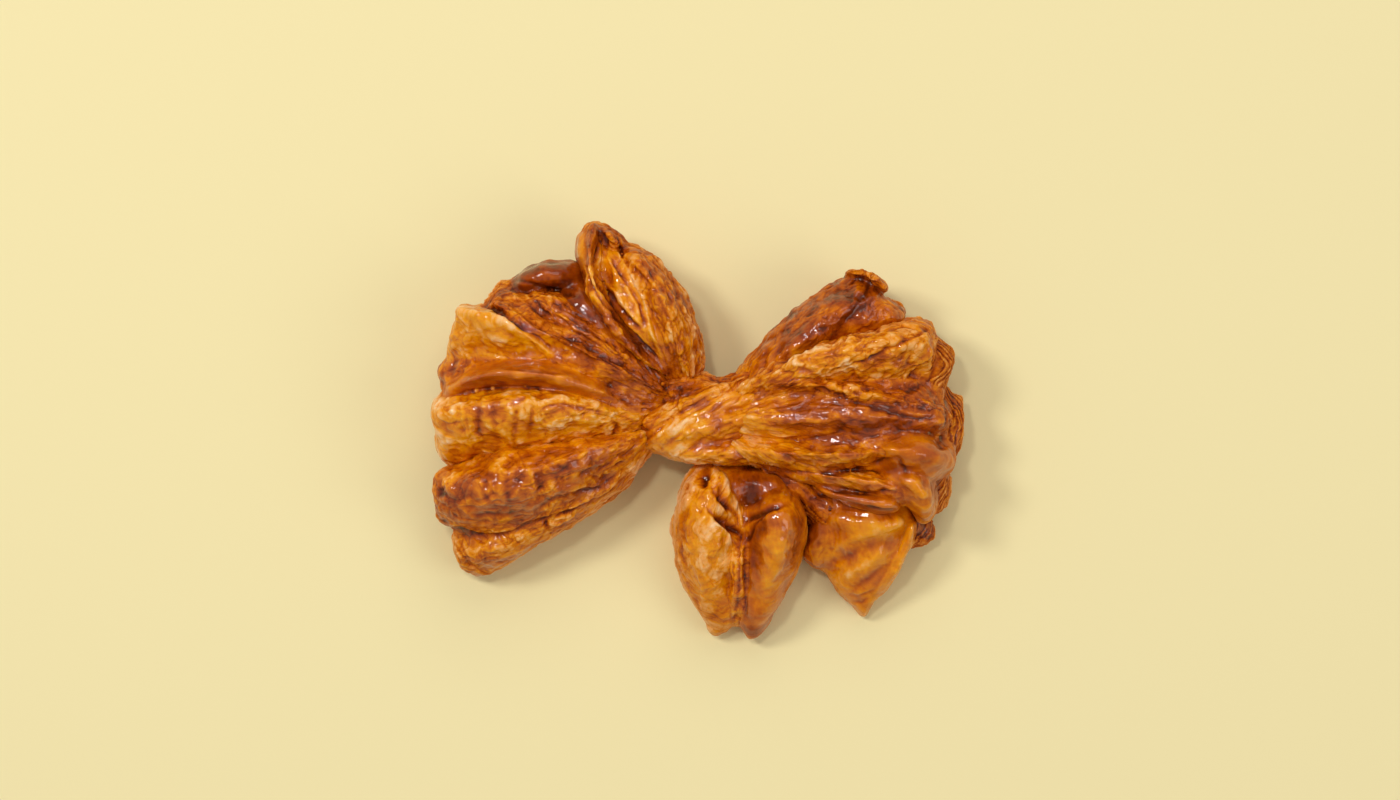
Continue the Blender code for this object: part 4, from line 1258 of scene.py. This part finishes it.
class GlazeMixer:
    """Adds shading nodes to one material."""

    def __init__(self, material: bpy.types.Material) -> None:
        """Takes the material in hand.

        Args:
            material: the material, with nodes in use.
        """
        self.nodes, self.links = material.node_tree.nodes, material.node_tree.links

    def attribute(self, name: str) -> bpy.types.Node:
        """Reads one of the piece's attributes.

        Args:
            name: the attribute's name.

        Returns:
            The node that reads it.
        """
        node = self.nodes.new("ShaderNodeAttribute")
        node.attribute_name = name
        return node

    def number(self, operation: str, *values: bpy.types.NodeSocket | float) -> bpy.types.NodeSocket:
        """Does a sum.

        Args:
            operation: the Math node's operation.
            values: sockets and plain numbers.

        Returns:
            The result.
        """
        node = self.nodes.new("ShaderNodeMath")
        node.operation = operation
        for value, socket in zip(values, node.inputs):
            if isinstance(value, float):
                socket.default_value = value
            else:
                self.links.new(value, socket)
        return node.outputs[0]

    def rising(self, value: bpy.types.NodeSocket, ends: Range) -> bpy.types.NodeSocket:
        """The first number, plus the second times the value."""
        return self.number("MULTIPLY_ADD", value, ends[1], ends[0])

    def line(self, value: bpy.types.NodeSocket, sharpness: float) -> bpy.types.NodeSocket:
        """1 where the value is 0, falling to 0 beside it."""
        beside = self.number("MINIMUM", self.number("MULTIPLY", value, sharpness), 1.0)
        return self.number("SUBTRACT", 1.0, beside)

    def stretched(self, run: bpy.types.NodeSocket, sizes: Triple) -> bpy.types.NodeSocket:
        """Measures places along the folds in units of a grain.

        Args:
            run: way from the root, way across and height, in metres.
            sizes: length, width and height of a grain, in metres.

        Returns:
            The places.
        """
        node = self.nodes.new("ShaderNodeVectorMath")
        node.operation = "DIVIDE"
        self.links.new(run, node.inputs[0])
        node.inputs[1].default_value = sizes
        return node.outputs[0]

    def speckle(self, where: bpy.types.NodeSocket, scale: float, detail: float) -> bpy.types.NodeSocket:
        """Makes noise.

        Args:
            where: places.
            scale: speckles in a unit of length.
            detail: how many finer layers of noise it has.

        Returns:
            Values from about -0.5 to 0.5.
        """
        node = self.nodes.new("ShaderNodeTexNoise")
        node.inputs["Scale"].default_value = scale
        node.inputs["Detail"].default_value = detail
        self.links.new(where, node.inputs["Vector"])
        return self.number("SUBTRACT", node.outputs["Fac"], 0.5)

    def flake_edges(self, cells: bpy.types.NodeSocket) -> bpy.types.NodeSocket:
        """Draws the bent outlines of small flakes.

        Args:
            cells: places in units of a flake.

        Returns:
            1 on an outline and 0 beside it.
        """
        swirl = self.nodes.new("ShaderNodeTexNoise")
        swirl.inputs["Scale"].default_value = 1.3
        swirl.inputs["Detail"].default_value = 3
        self.links.new(cells, swirl.inputs["Vector"])
        bend = self.nodes.new("ShaderNodeVectorMath")
        bend.operation = "MULTIPLY_ADD"
        self.links.new(swirl.outputs["Color"], bend.inputs[0])
        bend.inputs[1].default_value = (1.1, 1.1, 1.1)
        self.links.new(cells, bend.inputs[2])
        flake = self.nodes.new("ShaderNodeTexVoronoi")
        flake.feature = "DISTANCE_TO_EDGE"
        flake.inputs["Scale"].default_value = 1.0
        self.links.new(bend.outputs[0], flake.inputs["Vector"])
        return self.line(flake.outputs["Distance"], 14.0)

    def ramp(self, value: bpy.types.NodeSocket, colours: Colours) -> bpy.types.NodeSocket:
        """Turns a value into a colour.

        Args:
            value: the value.
            colours: values and the sRGB codes of their colours.

        Returns:
            The colour.
        """
        node = self.nodes.new("ShaderNodeValToRGB")
        stops = node.color_ramp.elements
        while len(stops) < len(colours):
            stops.new(0.5)
        for stop, (position, code) in zip(stops, colours):
            stop.position = position
            stop.color = (*linear(code), 1)
        self.links.new(value, node.inputs["Fac"])
        return node.outputs["Color"]

    def bump(self, height: bpy.types.NodeSocket, strength: float, depth: float) -> bpy.types.NodeSocket:
        """Roughens the surface.

        Args:
            height: heights.
            strength: share of the bump that shows.
            depth: size of one unit of height, in metres.

        Returns:
            The rough surface's normal.
        """
        node = self.nodes.new("ShaderNodeBump")
        node.inputs["Strength"].default_value = strength
        node.inputs["Distance"].default_value = depth
        self.links.new(height, node.inputs["Height"])
        return node.outputs["Normal"]


@dataclass(frozen=True)
class CaramelCrust:
    """Baked dough under a caramel glaze. Sizes are in metres."""

    name: str = "caramel_crust"
    colours: Colours = (
        (0.0, "F4C896"), (0.2, "EDAC66"), (0.4, "DD882C"), (0.55, "C56606"),
        (0.7, "A84B02"), (0.85, "873402"), (1.0, "571D02"),
    )
    fibre: Triple = (0.0055, 0.0011, 0.0016)  # length, width and height of the dough's fibres
    ripple: Triple = (0.0046, 0.0022, 0.003)  # the same of the glaze's ripples
    flake: Triple = (0.0042, 0.0024, 0.003)  # the same of its flakes
    grit: float = 0.0012
    patch: float = 0.006  # size of the patches in which flakes are torn
    pale_tone: float = 0.36  # the tone that has the first colour
    browning: Quad = (0.7, 0.14, 0.25, 0.05)  # by hollows (pooled caramel and painted shade, with painted highlight on ridges), grit, torn edges and threads
    fibre_browning: Range = (0.05, 0.12)  # on smooth crust, and what roughness adds
    saturation: Range = (0.98, 0.23)  # of dull crust, and what shine adds
    roughness: Range = (0.62, -0.3)  # the same
    flatness: Range = (1.0, -0.7)  # the same for the height of the grain
    coat: float = 1.1
    fibre_height: Range = (0.3, 0.8)  # on smooth crust, and what roughness adds
    ripple_height: Range = (0.3, 1.0)  # the same
    torn_height: float = -0.9
    coat_grain: float = 0.12  # share of the grain that shows on the glaze
    bump_strength: float = 0.6
    bump_depth: float = 0.0005
    sockets: tuple[tuple[str, float | Triple], ...] = (
        ("Coat Roughness", 0.05), ("Coat IOR", 1.5), ("IOR", 1.45), ("Specular IOR Level", 0.06),
        ("Subsurface Weight", 0.12), ("Subsurface Radius", (1.0, 0.35, 0.1)),
        ("Subsurface Scale", 0.0025),
    )

    def material(self) -> bpy.types.Material:
        """Mixes the finish.

        Returns:
            The material, which reads the pieces' attributes "bake" and "run" and object coordinates.
        """
        material = bpy.data.materials.new(self.name)
        material.use_nodes = True
        mixer = GlazeMixer(material)
        nodes, link = mixer.nodes, mixer.links.new
        number, rising = mixer.number, mixer.rising
        shader = nodes["Principled BSDF"]
        for socket, value in self.sockets:
            shader.inputs[socket].default_value = value
        place = nodes.new("ShaderNodeTexCoord").outputs["Object"]
        bake = mixer.attribute("bake")
        run = mixer.attribute("run").outputs["Vector"]
        parts = nodes.new("ShaderNodeSeparateColor")
        link(bake.outputs["Color"], parts.inputs["Color"])
        tone, hollow_shade, shine = (parts.outputs[name] for name in ("Red", "Green", "Blue"))
        rough = bake.outputs["Alpha"]
        fibre = mixer.speckle(mixer.stretched(run, self.fibre), 1.0, 4.0)
        thread = mixer.line(number("ABSOLUTE", fibre), 16.0)
        grit = mixer.speckle(place, 1 / self.grit, 4.0)
        ripple = mixer.speckle(mixer.stretched(run, self.ripple), 1.0, 1.0)
        edge = mixer.flake_edges(mixer.stretched(run, self.flake))
        patches = number("ADD", mixer.speckle(place, 1 / self.patch, 2.0), 0.5)
        torn = number("MULTIPLY", number("MULTIPLY", edge, rough), patches)
        # Hollows darken the colour as pooled caramel and painted shade, and ridges pale it as a painted
        # highlight.
        browned_and_shaded = number("SUBTRACT", tone, self.pale_tone)
        for cause, much in zip((hollow_shade, grit, torn, number("MULTIPLY", thread, rough)), self.browning):
            browned_and_shaded = number("MULTIPLY_ADD", cause, much, browned_and_shaded)
        browned_and_shaded = number("MULTIPLY_ADD", fibre, rising(rough, self.fibre_browning), browned_and_shaded)
        amber = nodes.new("ShaderNodeHueSaturation")
        link(mixer.ramp(browned_and_shaded, self.colours), amber.inputs["Color"])
        link(rising(shine, self.saturation), amber.inputs["Saturation"])
        link(amber.outputs["Color"], shader.inputs["Base Color"])
        link(rising(shine, self.roughness), shader.inputs["Roughness"])
        link(number("MULTIPLY", shine, self.coat), shader.inputs["Coat Weight"])
        height = number("MULTIPLY_ADD", fibre, rising(rough, self.fibre_height), grit)
        height = number("MULTIPLY_ADD", torn, self.torn_height, height)
        height = number("MULTIPLY", height, rising(shine, self.flatness))
        glaze = number("MULTIPLY", ripple, rising(rough, self.ripple_height))
        glaze = number("MULTIPLY_ADD", height, self.coat_grain, glaze)
        for level, normal in ((height, "Normal"), (glaze, "Coat Normal")):
            link(mixer.bump(level, self.bump_strength, self.bump_depth), shader.inputs[normal])
        return material


def linear(code: str) -> Triple:
    """The linear colour of a six-digit sRGB code."""
    values = [int(code[i : i + 2], 16) / 255 for i in (0, 2, 4)]
    return tuple(v / 12.92 if v <= 0.04045 else ((v + 0.055) / 1.055) ** 2.4 for v in values)


@dataclass
class Bow:
    """The whole pastry: all its pieces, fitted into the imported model's box."""

    pieces: list[DoughPiece] = field(default_factory=lambda: [
        Leaf(), LeftPleats(), Panels(), BackLobe(), RightPleats(), HangingFlap(), Petals(),
        Waist(), LeftBase(), RightBase(),
    ])
    finish: CaramelCrust = CaramelCrust()

    def build(self) -> list[bpy.types.Object]:
        """Builds, places and dresses every piece.

        Returns:
            The pieces' objects.
        """
        meshes = []
        for piece in self.pieces:
            others = [pleat for other in self.pieces if other is not piece for pleat in other.pleats]
            mesh = piece.build(others)
            mesh.name = piece.name
            meshes.append(mesh)
            log.info("%s: %d triangles", piece.name, len(mesh.polygons))
        self.fit(meshes)
        material = self.finish.material()
        made = []
        for piece, mesh in zip(self.pieces, meshes):
            mesh.materials.clear()
            mesh.materials.append(material)
            thing = bpy.data.objects.new(piece.name, mesh)
            bpy.context.scene.collection.objects.link(thing)
            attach(thing, BODY)
            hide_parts(NODE)
            made.append(thing)
        return made

    def fit(self, meshes: list[bpy.types.Mesh]) -> None:
        """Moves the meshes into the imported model's frame, in metres, and into its box.

        Args:
            meshes: the pieces' meshes, which are changed.
        """
        low, high = (np.array(corner) for corner in CAD_BOX)
        low, high = low + 1e-5, high - 1e-5
        floor_spot = np.array((*DRAWN_MIDDLE, FLOOR_CUT)) * MM
        for mesh in meshes:
            spots = np.empty(len(mesh.vertices) * 3, np.float32)
            mesh.vertices.foreach_get("co", spots)
            placed = spots.reshape(-1, 3) * MM - floor_spot
            log.info("%s: %s to %s", mesh.name, placed.min(axis=0).round(4), placed.max(axis=0).round(4))
            over = np.maximum(placed - (high - SOFT_EDGE), 0)
            placed -= over - SOFT_EDGE * np.tanh(over / SOFT_EDGE)
            under = np.maximum(low + SOFT_EDGE - placed, 0)
            under[:, 2] = 0
            placed += under - SOFT_EDGE * np.tanh(under / SOFT_EDGE)
            placed[:, 2] = np.maximum(placed[:, 2], low[2])
            mesh.vertices.foreach_set("co", placed.astype(np.float32).ravel())
            mesh.update()


@dataclass
class Studio:
    """Floor, light and camera, in metres and watts."""

    floor_colour: str = "EBDCA5"
    floor_roughness: float = 0.8
    floor_reach: float = 3.0  # half the floor's length
    room_colour: Triple = (1.0, 0.99, 0.97)
    room_light: float = 0.38
    lamps: tuple[tuple[str, Triple, float, float], ...] = (  # name, place, width and watts of each
        ("left_lamp", (-0.8, 0.45, 1.3), 0.3, 8.6),
        ("back_lamp", (0.2, 1.1, 1.1), 0.8, 4.5),
        ("right_lamp", (1.0, -0.3, 1.0), 0.8, 4.0),
        ("top_lamp", (-0.3, 0.4, 1.65), 0.14, 5.1),
    )
    camera_spot: Spot = (0.00045, 0.00945)  # the camera hangs straight above this point
    camera_height: float = 1.53
    focus_level: float = 0.03  # height above the floor
    view_width: float = 0.42  # what the camera sees at the focus level
    sensor_width: float = 36.0  # in millimetres

    def build(self) -> None:
        """Sets up the floor, the lamps and the camera."""
        self.lay_floor()
        self.hang_lamps()
        self.hang_camera()

    def lay_floor(self) -> None:
        """Lays a plain pale floor."""
        sheet = bmesh.new()
        bmesh.ops.create_grid(sheet, x_segments=8, y_segments=8, size=self.floor_reach)
        mesh = bpy.data.meshes.new("floor")
        sheet.to_mesh(mesh)
        sheet.free()
        floor = bpy.data.objects.new("floor", mesh)
        bpy.context.scene.collection.objects.link(floor)
        material = bpy.data.materials.new("pale_floor")
        material.use_nodes = True
        shader = material.node_tree.nodes["Principled BSDF"]
        shader.inputs["Base Color"].default_value = (*linear(self.floor_colour), 1)
        shader.inputs["Roughness"].default_value = self.floor_roughness
        mesh.materials.append(material)

    def hang_lamps(self) -> None:
        """Hangs the lamps and sets the room's light."""
        world = bpy.data.worlds.new("room")
        world.use_nodes = True
        room = world.node_tree.nodes["Background"]
        room.inputs["Color"].default_value = (*self.room_colour, 1)
        room.inputs["Strength"].default_value = self.room_light
        bpy.context.scene.world = world
        for name, spot, size, watts in self.lamps:
            self.hang(name, spot, size, watts)

    def hang(self, name: str, spot: Triple, size: float, watts: float) -> None:
        """Hangs one square lamp that faces the pastry.

        Args:
            name: its name.
            spot: where it hangs.
            size: its width.
            watts: its power.
        """
        lamp = bpy.data.lights.new(name, "AREA")
        lamp.size = size
        lamp.energy = watts
        holder = bpy.data.objects.new(name, lamp)
        holder.location = spot
        holder.rotation_euler = (-Vector(spot)).to_track_quat("-Z", "Y").to_euler()
        bpy.context.scene.collection.objects.link(holder)

    def hang_camera(self) -> None:
        """Hangs the camera straight above the pastry."""
        camera = bpy.data.cameras.new("camera")
        camera.sensor_width = self.sensor_width
        camera.lens = self.sensor_width * (self.camera_height - self.focus_level) / self.view_width
        holder = bpy.data.objects.new("camera", camera)
        holder.location = (*self.camera_spot, self.camera_height)
        bpy.context.scene.collection.objects.link(holder)
        bpy.context.scene.camera = holder
        bpy.context.scene.view_settings.view_transform = "Standard"


def main() -> None:
    """Builds the pastry and the studio."""
    logging.basicConfig(level=logging.INFO, format="%(relativeCreated)7.0f ms %(message)s")
    for piece in Bow().build():
        log.info("%s is in place", piece.name)
    Studio().build()


if __name__ == "__main__":
    main()
